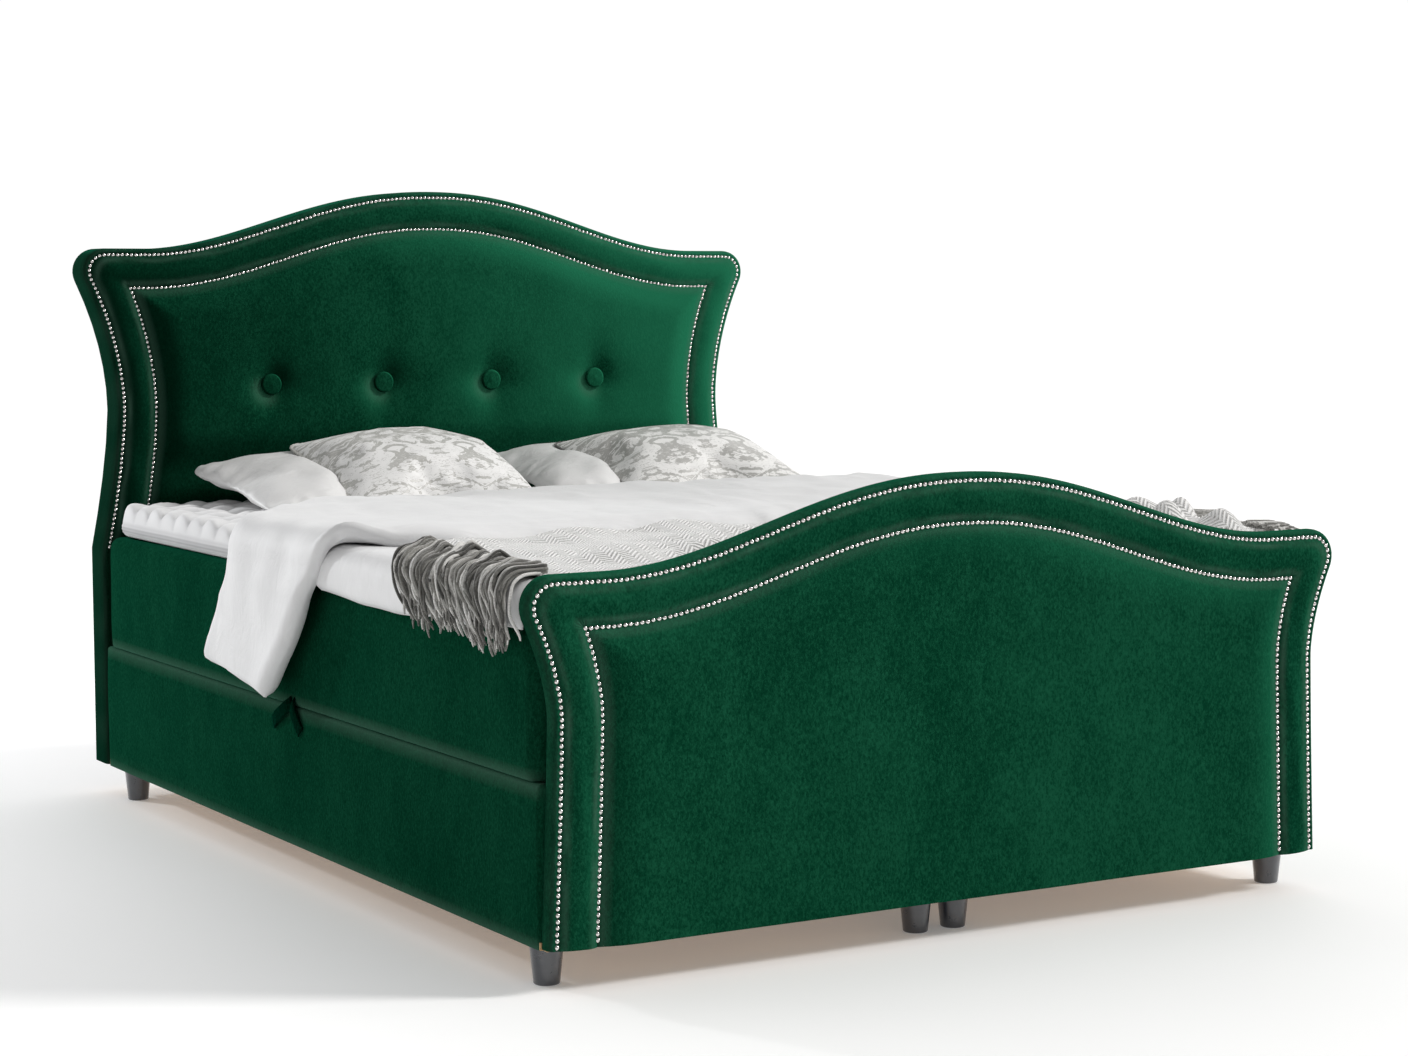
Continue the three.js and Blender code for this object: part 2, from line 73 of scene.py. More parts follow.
# ---------- the boards' template ----------
CORNER_R = 0.036
CORNER_X = 0.820
CORNER_ANGLE = math.radians(25)
CROWN_RISE = 0.133
CROWN_HALF = 0.690
CROWN_POWER = 1.1
EDGE = 0.012                        # from the outer nails out to the board's edge
BORDER = 0.072                      # from the outer nails in to the inner nails
HEADBOARD = dict(shoulder=1.187, waist_x=0.747, waist_z=0.847, low_x=0.789, low_z=0.542, power=1.5)
FOOTBOARD = dict(shoulder=0.653, waist_x=0.772, waist_z=0.437, low_x=0.784, low_z=0.072, power=1.2)
NAIL_LINE_HEIGHT = 0.0085           # how far the nail rows stand out from the board
NAIL_PITCH, NAIL_R, NAIL_DOME = 0.0103, 0.0045, 0.0042


# ---------- materials ----------
class Nodes:
    """A material's node tree, with short calls to add and link nodes."""

    def __init__(self, name):
        self.material = bpy.data.materials.new(name)
        self.material.use_nodes = True
        self.tree = self.material.node_tree
        self.shader = self.tree.nodes["Principled BSDF"]
        self.coords = self.tree.nodes.new("ShaderNodeTexCoord")

    def node(self, kind, **settings):
        made = self.tree.nodes.new("ShaderNode" + kind)
        for key, value in settings.items():
            setattr(made, key, value)
        return made

    def feed(self, socket, value):
        """Links an output to a socket, or sets a number or a colour on it."""
        if isinstance(value, bpy.types.NodeSocket):
            self.tree.links.new(value, socket)
        else:
            socket.default_value = (*value, 1) if isinstance(value, tuple) else value

    def attribute(self, name):
        return self.node("Attribute", attribute_name=name).outputs["Fac"]

    def place(self, scale, space="Object"):
        """The mesh's own coordinates, or its flat UV ones, scaled along each axis."""
        mapping = self.node("Mapping")
        mapping.inputs["Scale"].default_value = scale
        self.feed(mapping.inputs["Vector"], self.coords.outputs[space])
        return mapping.outputs["Vector"]

    def noise(self, scale, detail=2.0, rough=0.5, vector=None, distortion=0.0):
        noise = self.node("TexNoise")
        vector = vector or self.coords.outputs["Object"]
        for name, value in (("Scale", scale), ("Detail", detail), ("Roughness", rough),
                            ("Distortion", distortion), ("Vector", vector)):
            self.feed(noise.inputs[name], value)
        return noise.outputs["Fac"]

    def flat(self):
        """The cloth's own flat coordinates (the UV map, in metres)."""
        split = self.node("SeparateXYZ")
        self.feed(split.inputs[0], self.coords.outputs["UV"])
        return split.outputs["X"], split.outputs["Y"]

    def math(self, operation, *values):
        made = self.node("Math", operation=operation)
        for socket, value in zip(made.inputs, values):
            self.feed(socket, value)
        return made.outputs[0]

    def ramp(self, value, *stops):
        """A colour or grey ramp: stops are (position, colour)."""
        ramp = self.node("ValToRGB")
        while len(ramp.color_ramp.elements) < len(stops):
            ramp.color_ramp.elements.new(0.5)
        for element, (position, color) in zip(ramp.color_ramp.elements, stops):
            element.position = position
            element.color = (*color, 1) if isinstance(color, tuple) else (color, color, color, 1)
        self.feed(ramp.inputs["Fac"], value)
        return ramp.outputs["Color"]

    def mix(self, factor, a, b, blend="MIX"):
        mix = self.node("Mix", data_type="RGBA", blend_type=blend)
        for name, value in (("Factor", factor), ("A", a), ("B", b)):
            self.feed(mix.inputs[name], value)
        return mix.outputs["Result"]

    def mottle(self, value, low, high, tint, shade):
        """The tint where a noise is high, shading to a darker share of it where it is low."""
        return self.mix(self.ramp(value, (low, 0.0), (high, 1.0)), tuple(c * shade for c in tint), tint)

    def bump(self, height, strength, distance, under=None):
        bump = self.node("Bump")
        for name, value in (("Strength", strength), ("Distance", distance), ("Height", height)):
            self.feed(bump.inputs[name], value)
        if under is not None:
            self.feed(bump.inputs["Normal"], under)
        return bump.outputs["Normal"]

    def finish(self, color, normal, roughness, **sockets):
        """Links or sets the shader's inputs and returns the material."""
        for name, value in (("Base Color", color), ("Normal", normal), ("Roughness", roughness)):
            if value is not None:
                self.feed(self.shader.inputs[name], value)
        for name, value in sockets.items():
            self.feed(self.shader.inputs[name.replace("_", " ").title().replace("Ior", "IOR")], value)
        return self.material


# (scale, squash along Z, weight, detail) of the velvet's noises: mottle, cloud, speckle and fibre
VELVET_NOISES = ((5, 0.7, 0.26, 4), (26, 0.55, 0.16, 4), (230, 0.6, 0.62, 3), (520, 0.55, 0.42, 2))
PAINTED_SHADE_TONE, PAINTED_HIGHLIGHT_TONE = 0.22, 2.6      # painted shade and painted highlight: tone where a slope faces fully away from and towards the key light


def velvet_material(name, tones, crush_and_highlight_tone):
    """Velvet: a faintly mottled nap in three tones and fine fibre grain. The mesh's lay attribute
    holds painted light by how each slope faces the key light (painted shade below 0, painted
    highlight above), and its nap attribute how far nails or a seam crush it to a greyer tone;
    beside the headboard's buttons the nap attribute also holds a painted highlight."""
    n = Nodes(name)
    nap = 0.5
    fields = []
    for scale, squash, weight, detail in VELVET_NOISES:
        fields.append(n.noise(1, detail, 0.62, n.place((scale, scale, scale * squash)), 0.4))
        nap = n.math("ADD", n.math("MULTIPLY", n.math("SUBTRACT", fields[-1], 0.5), weight), nap)
    color = n.ramp(nap, *zip((0.38, 0.50, 0.62), tones))
    # lay is painted light: it mixes in painted shade below 0 and a painted highlight above 0.
    lay = n.attribute("lay")
    for gain, most, tone, shade in ((-0.86, 0.92, tones[0], PAINTED_SHADE_TONE), (0.62, 0.9, tones[2], PAINTED_HIGHLIGHT_TONE)):
        share = n.math("MINIMUM", n.math("MAXIMUM", n.math("MULTIPLY", lay, gain), 0.0), most)
        color = n.mix(share, color, tuple(c * shade for c in tone))
    # The greyer crushed tone also serves as a painted highlight beside the headboard's buttons.
    color = n.mix(n.math("MULTIPLY", n.attribute("nap"), 0.85), color, crush_and_highlight_tone)
    fibre, speckle = fields[3], fields[2]
    normal = n.bump(speckle, 0.45, 0.0013, n.bump(fibre, 0.35, 0.0006))
    return n.finish(color, normal, 0.9, sheen_weight=0.12, sheen_roughness=0.30,
                    sheen_tint=(0.02, 0.60, 0.33), specular_ior_level=0.0)


def cotton_material(name, tint, roughness=0.62, sheen=0.25):
    """Smooth white bed linen: a fine plain weave, soft creases and faint yarn unevenness."""
    n = Nodes(name)
    color = n.mottle(n.noise(5, 3, 0.6), 0.35, 0.65, tint, shade=0.93)
    threads = n.noise(900, 1, 0.5)
    creases = n.noise(1, 5, 0.62, n.place((8, 19, 11)), 1.8)
    normal = n.bump(creases, 0.42, 0.007, n.bump(threads, 0.12, 0.0003))
    return n.finish(color, normal, roughness, sheen_weight=sheen, sheen_roughness=0.5,
                    specular_ior_level=0.3)


def quilt_material():
    """The topper's knitted ticking: white with a fine ribbed knit, greyer where the mesh's band
    attribute is set: painted shade in a ribbed band round its side that darkens towards the bottom,
    and painted shade in the quilting's grooves on top."""
    n = Nodes("quilted_ticking")
    knit = n.noise(1, 2, 0.5, n.place((380, 380, 900)))
    color = n.mix(n.ramp(n.noise(7, 3), (0.3, 0.0), (0.7, 1.0)), (0.70, 0.70, 0.71), (0.77, 0.77, 0.775))
    color = n.mix(n.attribute("band"), color, (0.20, 0.20, 0.21))
    return n.finish(color, n.bump(knit, 0.25, 0.0005), 0.8, sheen_weight=0.3, sheen_roughness=0.5)


HERRINGBONE_WIDTH, HERRINGBONE_RIB = 0.019, 0.0100


def throw_material():
    """Light grey herringbone: ribs along the cloth, turned into zigzags."""
    n = Nodes("throw_weave")
    u, v = n.flat()
    along = n.math("ADD", v, n.math("PINGPONG", u, HERRINGBONE_WIDTH))
    rib = n.math("SINE", n.math("MULTIPLY", along, 2 * math.pi / HERRINGBONE_RIB))
    rib = n.math("MULTIPLY_ADD", rib, 0.5, 0.5)
    fuzz = n.noise(260, 3, 0.7)
    height = n.math("ADD", rib, n.math("MULTIPLY", fuzz, 0.8))
    color = n.ramp(height, (0.30, (0.19, 0.185, 0.175)), (0.56, (0.74, 0.735, 0.72)),
                   (0.90, (0.94, 0.935, 0.925)))
    return n.finish(color, n.bump(height, 0.9, 0.0026), 0.9, sheen_weight=0.4, sheen_roughness=0.6)


def yarn_material():
    """Warm grey fringe yarn, plied, with each strand in its own tone (the tone attribute)."""
    n = Nodes("fringe_yarn")
    twist = n.noise(1, 2, 0.6, n.place((260, 260, 420)))
    mixed = n.math("ADD", n.math("MULTIPLY", n.attribute("tone"), 0.8), n.math("MULTIPLY", twist, 0.45))
    color = n.ramp(mixed, (0.25, (0.050, 0.048, 0.042)), (0.62, (0.24, 0.235, 0.215)),
                   (0.98, (0.76, 0.75, 0.725)))
    return n.finish(color, n.bump(twist, 0.6, 0.0010), 0.75, sheen_weight=0.4)


def damask_material(name, ground, figure, repeat, share):
    """Satin damask: a mirrored foliage figure with fine outlines, woven in a second tone. The
    mirrored repeat comes from folding the cloth's flat coordinates."""
    n = Nodes(name)
    u, v = n.flat()
    fold = n.node("CombineXYZ")
    n.feed(fold.inputs["X"], n.math("PINGPONG", u, repeat))
    n.feed(fold.inputs["Y"], n.math("MULTIPLY", v, 1.7))
    leaves = n.noise(13, 4.0, 0.52, fold.outputs[0], 2.2)
    scrolls = n.noise(22, 1.5, 0.5, fold.outputs[0], 2.2)
    leaf_mask = n.ramp(leaves, (share, 0.0), (share + 0.012, 1.0))
    outline = n.math("ABSOLUTE", n.math("SUBTRACT", scrolls, 0.5))
    outline_mask = n.math("MULTIPLY", n.ramp(outline, (0.008, 1.0), (0.016, 0.0)), 0.75)
    mask = n.mix(outline_mask, leaf_mask, (1.0, 1.0, 1.0), "DIFFERENCE")
    thread = n.noise(1, 1, 0.5, n.place((700, 1600, 1), "UV"))
    height = n.math("ADD", n.math("MULTIPLY", mask, 0.9), n.math("MULTIPLY", thread, 0.5))
    roughness = n.ramp(mask, (0.0, 0.34), (1.0, 0.62))
    return n.finish(n.mix(mask, ground, figure), n.bump(height, 0.4, 0.0007), roughness,
                    sheen_weight=0.2, specular_ior_level=0.45)


def metal_material(name, tint, roughness):
    """Plated or painted steel with faint wear."""
    n = Nodes(name)
    wear = n.noise(60, 4, 0.6)
    rough = n.ramp(wear, (0.3, roughness * 0.8), (0.7, roughness * 1.25))
    return n.finish(n.mottle(wear, 0.35, 0.7, tint, shade=0.8), n.bump(wear, 0.08, 0.0005), rough,
                    metallic=1.0)


def nail_material():
    """Polished nail heads, with painted shade where each head meets the cloth (the mesh attribute for the
    rim).
    """
    n = Nodes("nail_steel")
    painted_rim_shade = n.attribute("painted_rim_shade")
    wear = n.noise(300, 4, 0.6)
    color = n.mix(n.ramp(wear, (0.35, 0.0), (0.7, 1.0)), (0.66, 0.64, 0.62), (0.86, 0.84, 0.82))
    color = n.mix(painted_rim_shade, color, (0.035, 0.033, 0.030))
    roughness = n.ramp(painted_rim_shade, (0.0, 0.13), (1.0, 0.5))
    return n.finish(color, n.bump(wear, 0.08, 0.0005), roughness, metallic=1.0)


def timber_material():
    """Pale plywood and pine: long grain along Y, with darker latewood lines."""
    n = Nodes("timber")
    grain = n.noise(1, 4, 0.6, n.place((90, 4, 90)), 0.6)
    fine = n.noise(1, 3, 0.7, n.place((700, 22, 700)))
    mixed = n.math("ADD", n.math("MULTIPLY", grain, 0.75), n.math("MULTIPLY", fine, 0.25))
    color = n.ramp(mixed, (0.32, (0.30, 0.165, 0.070)), (0.5, (0.50, 0.315, 0.150)),
                   (0.68, (0.62, 0.43, 0.235)))
    return n.finish(color, n.bump(mixed, 0.3, 0.0006), 0.62)


def plastic_material():
    """Moulded leg plastic, dark graphite with a satin gloss and faint scuffs."""
    n = Nodes("leg_plastic")
    texture = n.noise(420, 2, 0.5)
    scuff = n.noise(45, 5, 0.7)
    color = n.mix(n.ramp(scuff, (0.5, 0.0), (0.75, 1.0)), (0.030, 0.034, 0.044), (0.042, 0.047, 0.060))
    roughness = n.ramp(scuff, (0.3, 0.26), (0.7, 0.32))
    return n.finish(color, n.bump(texture, 0.06, 0.0003), roughness,
                    specular_ior_level=0.9, coat_weight=0.6, coat_roughness=0.16)


def plain_cloth_material(name, tint):
    """Non-woven or plain cloth, as on the back of the headboard and round the springs."""
    n = Nodes(name)
    color = n.mottle(n.noise(12, 3, 0.6), 0.3, 0.7, tint, shade=0.7)
    return n.finish(color, n.bump(n.noise(600, 3, 0.7), 0.5, 0.0005), 0.92, sheen_weight=0.15)


VELVET = velvet_material(
    "velvet", ((0.0012, 0.032, 0.0150), (0.0036, 0.050, 0.0240), (0.0070, 0.074, 0.0370)),
    (0.075, 0.150, 0.110))
WEBBING = velvet_material(
    "webbing", ((0.0002, 0.006, 0.003), (0.0004, 0.011, 0.006), (0.001, 0.019, 0.010)),
    (0.004, 0.020, 0.012))
COTTON = cotton_material("white_cotton", (0.76, 0.76, 0.765))
PILLOW_SATIN = cotton_material("pillow_satin", (0.79, 0.785, 0.78), 0.42, 0.15)
QUILT = quilt_material()
THROW = throw_material()
YARN = yarn_material()
DAMASK = {
    "left": damask_material("damask_light", (0.47, 0.465, 0.44), (0.84, 0.835, 0.825), 0.085, 0.452),
    "right": damask_material("damask_grey", (0.42, 0.415, 0.395), (0.82, 0.815, 0.80), 0.095, 0.475),
}
NAIL_STEEL = nail_material()
ZINC = metal_material("zinc_steel", (0.52, 0.53, 0.54), 0.38)
BLACK_STEEL = metal_material("black_steel", (0.045, 0.046, 0.050), 0.35)
TIMBER = timber_material()
PLASTIC = plastic_material()
BACK_CLOTH = plain_cloth_material("back_cloth", (0.016, 0.017, 0.017))
SPRING_CLOTH = plain_cloth_material("spring_cloth", (0.66, 0.64, 0.60))


# ---------- mesh helpers ----------
def add_object(name, data):
    made = bpy.data.objects.new(name, data)
    bpy.context.scene.collection.objects.link(made)
    return made


def make_object(name, points, faces, material):
    """A smooth-shaded mesh object from an (n, 3) array of points and lists or arrays of faces."""
    mesh = bpy.data.meshes.new(name)
    mesh.from_pydata(np.asarray(points, float).tolist(), [], [list(map(int, f)) for f in faces])
    mesh.polygons.foreach_set("use_smooth", [True] * len(mesh.polygons))
    mesh.materials.append(material)
    mesh.update()
    return add_object(name, mesh)


def grid_faces(rows, columns, start=0, closed=False, flip=False):
    """Quads between the points of a rows x columns grid, numbered row by row from start."""
    faces = []
    for i in range(rows - 1):
        for j in range(columns if closed else columns - 1):
            a = start + i * columns + j
            b = start + i * columns + (j + 1) % columns
            quad = (a, b, b + columns, a + columns)
            faces.append(quad[::-1] if flip else quad)
    return faces


def mesh_points(made):
    points = np.zeros(len(made.data.vertices) * 3)
    made.data.vertices.foreach_get("co", points)
    return points.reshape(-1, 3)


def set_points(made, points):
    made.data.vertices.foreach_set("co", np.asarray(points, float).ravel())
    made.data.update()


def set_attribute(made, name, values):
    attribute = made.data.attributes.new(name, "FLOAT", "POINT")
    attribute.data.foreach_set("value", np.asarray(values, np.float32))


def set_uv(made, uv):
    """A UV map with each point's own flat coordinates."""
    layer = made.data.uv_layers.new(name="UVMap")
    corners = np.zeros(len(made.data.loops), int)
    made.data.loops.foreach_get("vertex_index", corners)
    layer.data.foreach_set("uv", np.asarray(uv, np.float32)[corners].ravel())


def smoothstep(value, low, high):
    t = np.clip((value - low) / (high - low), 0, 1)
    return t * t * (3 - 2 * t)


def hump(value, centre, width):
    """A bell-shaped peak of height 1."""
    return np.exp(-((value - centre) / width) ** 2)


def ripples(a, b, wavelength, seed, stretch=1.0):
    """A smooth uneven surface: a sum of seeded waves, about -1 to 1."""
    rng = np.random.default_rng(seed)
    waves = 12
    total = np.zeros(np.broadcast(a, b).shape)
    for _ in range(waves):
        angle = rng.uniform(0, 2 * math.pi)
        size = 2 * math.pi / (wavelength * rng.uniform(0.6, 1.6))
        phase = rng.uniform(0, 2 * math.pi)
        total = total + np.sin(size * (a * math.cos(angle) + b * math.sin(angle) * stretch) + phase)
    return total / math.sqrt(waves) * 0.7


def lengths_along(line):
    """How far along the line each of its points is."""
    return np.concatenate([[0], np.cumsum(np.linalg.norm(np.diff(line, axis=0), axis=1))])


def path_normals(points):
    """Each point's unit normal in the plane, to the left of the way the path runs."""
    run = np.vstack([points[1:], points[-1:]]) - np.vstack([points[:1], points[:-1]])
    run /= np.linalg.norm(run, axis=1)[:, None]
    return np.stack([-run[:, 1], run[:, 0]], 1)


def resample(points, spacing):
    along = lengths_along(points)
    places = np.linspace(0, along[-1], max(2, round(along[-1] / spacing) + 1))
    return np.stack([np.interp(places, along, points[:, k]) for k in range(points.shape[1])], 1)


RING = 6                            # points round a yarn or a cord


def square_to(run, lean):
    """Two unit vectors square to each direction of a run; the first is also square to lean."""
    run = run / np.linalg.norm(run, axis=1)[:, None]
    side = np.cross(run, lean)
    side /= np.linalg.norm(side, axis=1)[:, None]
    return side, np.cross(run, side)


def rings_round(line, side, up, radii):
    """A ring of points round each point of a line."""
    angles = np.linspace(0, 2 * math.pi, RING, endpoint=False)[None, :, None]
    spokes = side[:, None, :] * np.cos(angles) + up[:, None, :] * np.sin(angles)
    return (line[:, None, :] + radii[:, None, None] * spokes).reshape(-1, 3)


def place_piece(made, body, slot, *nodes):
    """Makes a piece ride on a body and hides the CAD nodes it stands for. The slot argument is not used."""
    if nodes:
        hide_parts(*nodes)
    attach(made, body)
    return made


# ---------- camera, lights and floor ----------
CAMERA_PLACE = Vector((-2.8286, -5.0176, 1.1150))
CAMERA_YAW, CAMERA_PITCH, CAMERA_ROLL = 0.53218, 0.08437, -0.0030858
CAMERA_LENS, CAMERA_SENSOR = 73.064, 36
KEY_TOWARDS = (0.72, -0.40, 0.56)
SIDE_PLACE, SIDE_TARGET = Vector((-2.9, 4.3, 1.8)), Vector((-0.8, 0.0, 0.45))
BRIGHT_TOWARDS = (0.46, 0.89, 0.0)  # the brightest part of the studio's white
FLOOR_HALF = 30.0


def add_camera():
    data = bpy.data.cameras.new("camera")
    data.sensor_width, data.lens = CAMERA_SENSOR, CAMERA_LENS
    camera = add_object("camera", data)
    forward = Vector((math.sin(CAMERA_YAW) * math.cos(CAMERA_PITCH),
                      math.cos(CAMERA_YAW) * math.cos(CAMERA_PITCH), -math.sin(CAMERA_PITCH)))
    level = Vector((math.cos(CAMERA_YAW), -math.sin(CAMERA_YAW), 0))
    upright = level.cross(forward)
    right = level * math.cos(CAMERA_ROLL) + upright * math.sin(CAMERA_ROLL)
    up = upright * math.cos(CAMERA_ROLL) - level * math.sin(CAMERA_ROLL)
    turn = Matrix((right, up, -forward)).transposed()
    camera.matrix_world = Matrix.Translation(CAMERA_PLACE) @ turn.to_4x4()
    bpy.context.scene.camera = camera


def add_light(name, kind, towards, **settings):
    """A light: towards points from the bed to the light."""
    data = bpy.data.lights.new(name, kind)
    for key, value in settings.items():
        setattr(data, key, value)
    light = add_object(name, data)
    light.rotation_euler = Vector(towards).to_track_quat("Z", "Y").to_euler()
    return light


def add_world():
    """A white studio: brightest behind the bed's right head corner, dimmer towards the left foot."""
    world = bpy.data.worlds.new("world")
    world.use_nodes = True
    tree = world.node_tree
    coords = tree.nodes.new("ShaderNodeTexCoord")
    toward = tree.nodes.new("ShaderNodeVectorMath")
    toward.operation = "DOT_PRODUCT"
    toward.inputs[1].default_value = BRIGHT_TOWARDS
    ramp = tree.nodes.new("ShaderNodeMapRange")
    ramp.interpolation_type = "SMOOTHSTEP"
    for name, value in (("From Min", -0.40), ("From Max", 0.60), ("To Min", 0.36), ("To Max", 1.02)):
        ramp.inputs[name].default_value = value
    tree.links.new(coords.outputs["Generated"], toward.inputs[0])
    tree.links.new(toward.outputs["Value"], ramp.inputs["Value"])
    tree.links.new(ramp.outputs["Result"], tree.nodes["Background"].inputs["Strength"])
    tree.nodes["Background"].inputs["Color"].default_value = (1, 1, 1, 1)
    bpy.context.scene.world = world


def add_studio():
    """A soft key from the front right, a small light for the left side, and a pale floor."""
    add_light("key", "SUN", KEY_TOWARDS, energy=2.1, angle=0.21, color=(1.0, 0.985, 0.965))
    side = add_light("side", "AREA", SIDE_PLACE - SIDE_TARGET, shape="RECTANGLE", size=0.30,
                     size_y=0.30, energy=88, color=(0.97, 0.985, 1.0))
    side.location = SIDE_PLACE
    add_world()
    bpy.context.scene.view_settings.view_transform = "Standard"
    n = Nodes("studio_floor")
    pale = n.mix(n.noise(3, 2), (0.90, 0.90, 0.90), (0.93, 0.93, 0.93))
    n.finish(pale, None, 0.7, emission_color=(1.0, 1.0, 1.0), emission_strength=0.15)
    corners = [(x * FLOOR_HALF, y * FLOOR_HALF, 0) for x, y in ((-1, -1), (1, -1), (1, 1), (-1, 1))]
    make_object("studio_floor", corners, [(0, 1, 2, 3)], n.material)


# ---------- headboard and footboard ----------
def nail_line_half(board):
    """The outer nail line's right half as (x, z), from the bottom edge up to the crown."""
    centre_x, centre_z = CORNER_X - CORNER_R, board["shoulder"] - CORNER_R
    flare_x = centre_x + CORNER_R * math.cos(CORNER_ANGLE)
    flare_z = centre_z - CORNER_R * math.sin(CORNER_ANGLE)
    waist_x, waist_z = board["waist_x"], board["waist_z"]
    flare_power = math.tan(CORNER_ANGLE) * (flare_z - waist_z) / (flare_x - waist_x)
    low = [(board["low_x"], BOARD_BOTTOM)] if board["low_z"] > BOARD_BOTTOM + 0.01 else []
    for u in np.linspace(1, 0, 60, endpoint=False):
        low.append((waist_x + (board["low_x"] - waist_x) * u ** board["power"],
                    waist_z - (waist_z - board["low_z"]) * u))
    high = [(waist_x + (flare_x - waist_x) * u ** flare_power, waist_z + (flare_z - waist_z) * u)
            for u in np.linspace(0, 1, 60, endpoint=False)]
    arc = [(centre_x + CORNER_R * math.cos(a), centre_z + CORNER_R * math.sin(a))
           for a in np.linspace(-CORNER_ANGLE, math.pi / 2, 24)]
    crown = []
    for x in np.linspace(centre_x, 0, 130)[1:]:
        bell = 0.5 * (1 + math.cos(math.pi * min(x / CROWN_HALF, 1) ** CROWN_POWER))
        crown.append((x, board["shoulder"] + CROWN_RISE * bell))
    return resample(np.array(low + high + arc + crown), 0.006)


def distances(points, line):
    """Each point's distance to the nearest point of a finely spaced line."""
    nearest = np.zeros(len(points))
    block = 4000                    # points at a time, to keep the table of gaps small
    for start in range(0, len(points), block):
        part = points[start:start + block]
        gaps = np.linalg.norm(part[:, None, :] - line[None, :, :], axis=2)
        nearest[start:start + block] = gaps.min(1)
    return nearest


def inner_line_half(half):
    """For each point of the outer line, its partner on the line BORDER further in. Partners that
    would overshoot at the rounded corner all meet at one sharp mitred corner."""
    moved = half + path_normals(half) * BORDER
    whole = np.vstack([half, half[::-1] * (-1, 1)])
    clear = distances(moved, whole) > BORDER - 0.0015
    first = int(np.argmin(clear))
    last = len(clear) - 1 - int(np.argmin(clear[::-1]))
    a, b, c, d = moved[first - 4], moved[first - 1], moved[last + 1], moved[last + 4]
    side, top = b - a, d - c
    t = ((c[0] - a[0]) * top[1] - (c[1] - a[1]) * top[0]) / (side[0] * top[1] - side[1] * top[0])
    moved[first:last + 1] = a + t * side
    moved[-1] = (0, moved[-1][1])
    return moved


def both_halves(half):
    """A right half line, mirrored and run on from the left bottom to the right bottom."""
    return np.vstack([half * (-1, 1), half[:-1][::-1]])


COVER = 0.0015                      # the cloth over the board's side
PUCKER_PITCH, PUCKER_DEPTH = 0.031, 0.00045
LIP_WIDTH, LIP_RISE = 0.0075, 0.0022


def border_profile(nail_height, roll, back_depth):
    """The border's section: (inset, height) from the back edge, round the board's side, over the
    lip and the roll to the inner nails. Height is towards the viewer from the board's face."""
    side, back = -EDGE - COVER, -back_depth
    lip_low, lip_top = nail_height * 0.3, nail_height + LIP_RISE
    rows = [(-0.004, back - 0.0003), (-EDGE - 0.0008, back - 0.0003), (side, back + 0.0004)]
    rows += [(side - 0.0008, height) for height in np.linspace(back + 0.004, lip_low - 0.004, 5)]
    rows += [(side + LIP_WIDTH * (1 - math.cos(a)), lip_low + (lip_top - lip_low) * math.sin(a))
             for a in np.linspace(0, math.pi / 2, 7)]
    rows += [(-0.0032, nail_height + 0.0012), (0.0, nail_height)]
    rows += [(BORDER * u, nail_height + roll * math.sin(math.pi * u) ** 0.62)
             for u in np.linspace(0, 1, 22)[1:-1]]
    return rows + [(BORDER, nail_height), (BORDER + 0.003, nail_height - 0.003)]


def nap_crush(inset):
    """How far the pile is crushed, by the distance from the two nail rows."""
    outer = hump(inset, 0.0100, 0.0060) * 0.32 + hump(inset, -0.010, 0.005) * 0.14
    return outer + hump(inset, BORDER - 0.0100, 0.0062) * 0.36


def paint_slope_light(made, painted_light_sweep=0.0, gain=1.7, painted_light_offset=0.0):
    """Paints light and shade into the lay attribute: slopes that face up and right, towards the key
    light, get a painted highlight, and slopes that face down and left get painted shade. The sweep adds
    an even change across the board's width, painted light that grows lighter to the right, and the
    offset adds a painted change all over."""
    normals = np.zeros(len(made.data.vertices) * 3)
    made.data.vertex_normals.foreach_get("vector", normals)
    normals = normals.reshape(-1, 3)
    slope = normals[:, 0] * 0.80 + normals[:, 2] * 0.50
    across = mesh_points(made)[:, 0] / BED_HALF
    lay = slope * gain * (0.35 + 0.65 * np.abs(normals[:, 1])) + painted_light_sweep * across + painted_light_offset
    set_attribute(made, "lay", np.clip(lay, -1, 1))


def add_border(name, board, face, back_depth, roll, seed, node, painted_light_sweep):
    """The padded border of one board, from its back edge to the inner nails. Returns both lines."""
    half = nail_line_half(board)
    outer_line, inner_line = both_halves(half), both_halves(inner_line_half(half))
    normals = both_halves(path_normals(half))
    along = lengths_along(outer_line)
    puckers = np.sin(along * 2 * math.pi / PUCKER_PITCH + 2 * np.sin(along * 9)) * PUCKER_DEPTH
    profile = border_profile(NAIL_LINE_HEIGHT, roll, back_depth)
    points, crush = [], []
    for inset, height in profile:
        if inset <= 0:
            flat = outer_line + normals * inset
        else:
            flat = outer_line + (inner_line - outer_line) * (inset / BORDER)
        flat[:, 1] = np.maximum(flat[:, 1], BOARD_BOTTOM - 0.0004)
        inside = smoothstep(inset, 0.0, 0.02) * smoothstep(BORDER - inset, 0.0, 0.02)
        uneven = ripples(along, np.full_like(along, inset * 3), 0.16, seed) * 0.0011 * inside
        near_nails = smoothstep(0.02 - min(abs(inset), abs(BORDER - inset)), 0.0, 0.014)
        depth = height + uneven + puckers * near_nails * (inset > 0)
        points.append(np.stack([flat[:, 0], face - depth, flat[:, 1]], 1))
        streak = 0.75 + 0.45 * ripples(along, np.full_like(along, inset * 8), 0.09, seed + 7)
        crush.append(nap_crush(inset) * np.clip(streak, 0.15, 1.2))
    made = make_object(name, np.vstack(points), grid_faces(len(profile), len(along), flip=True), VELVET)
    set_attribute(made, "nap", np.concatenate(crush))
    # Painted light and shade by slope, lighter towards the right.
    paint_slope_light(made, painted_light_sweep, gain=1.1)
    place_piece(made, "base", "velvet", node)
    return outer_line, inner_line


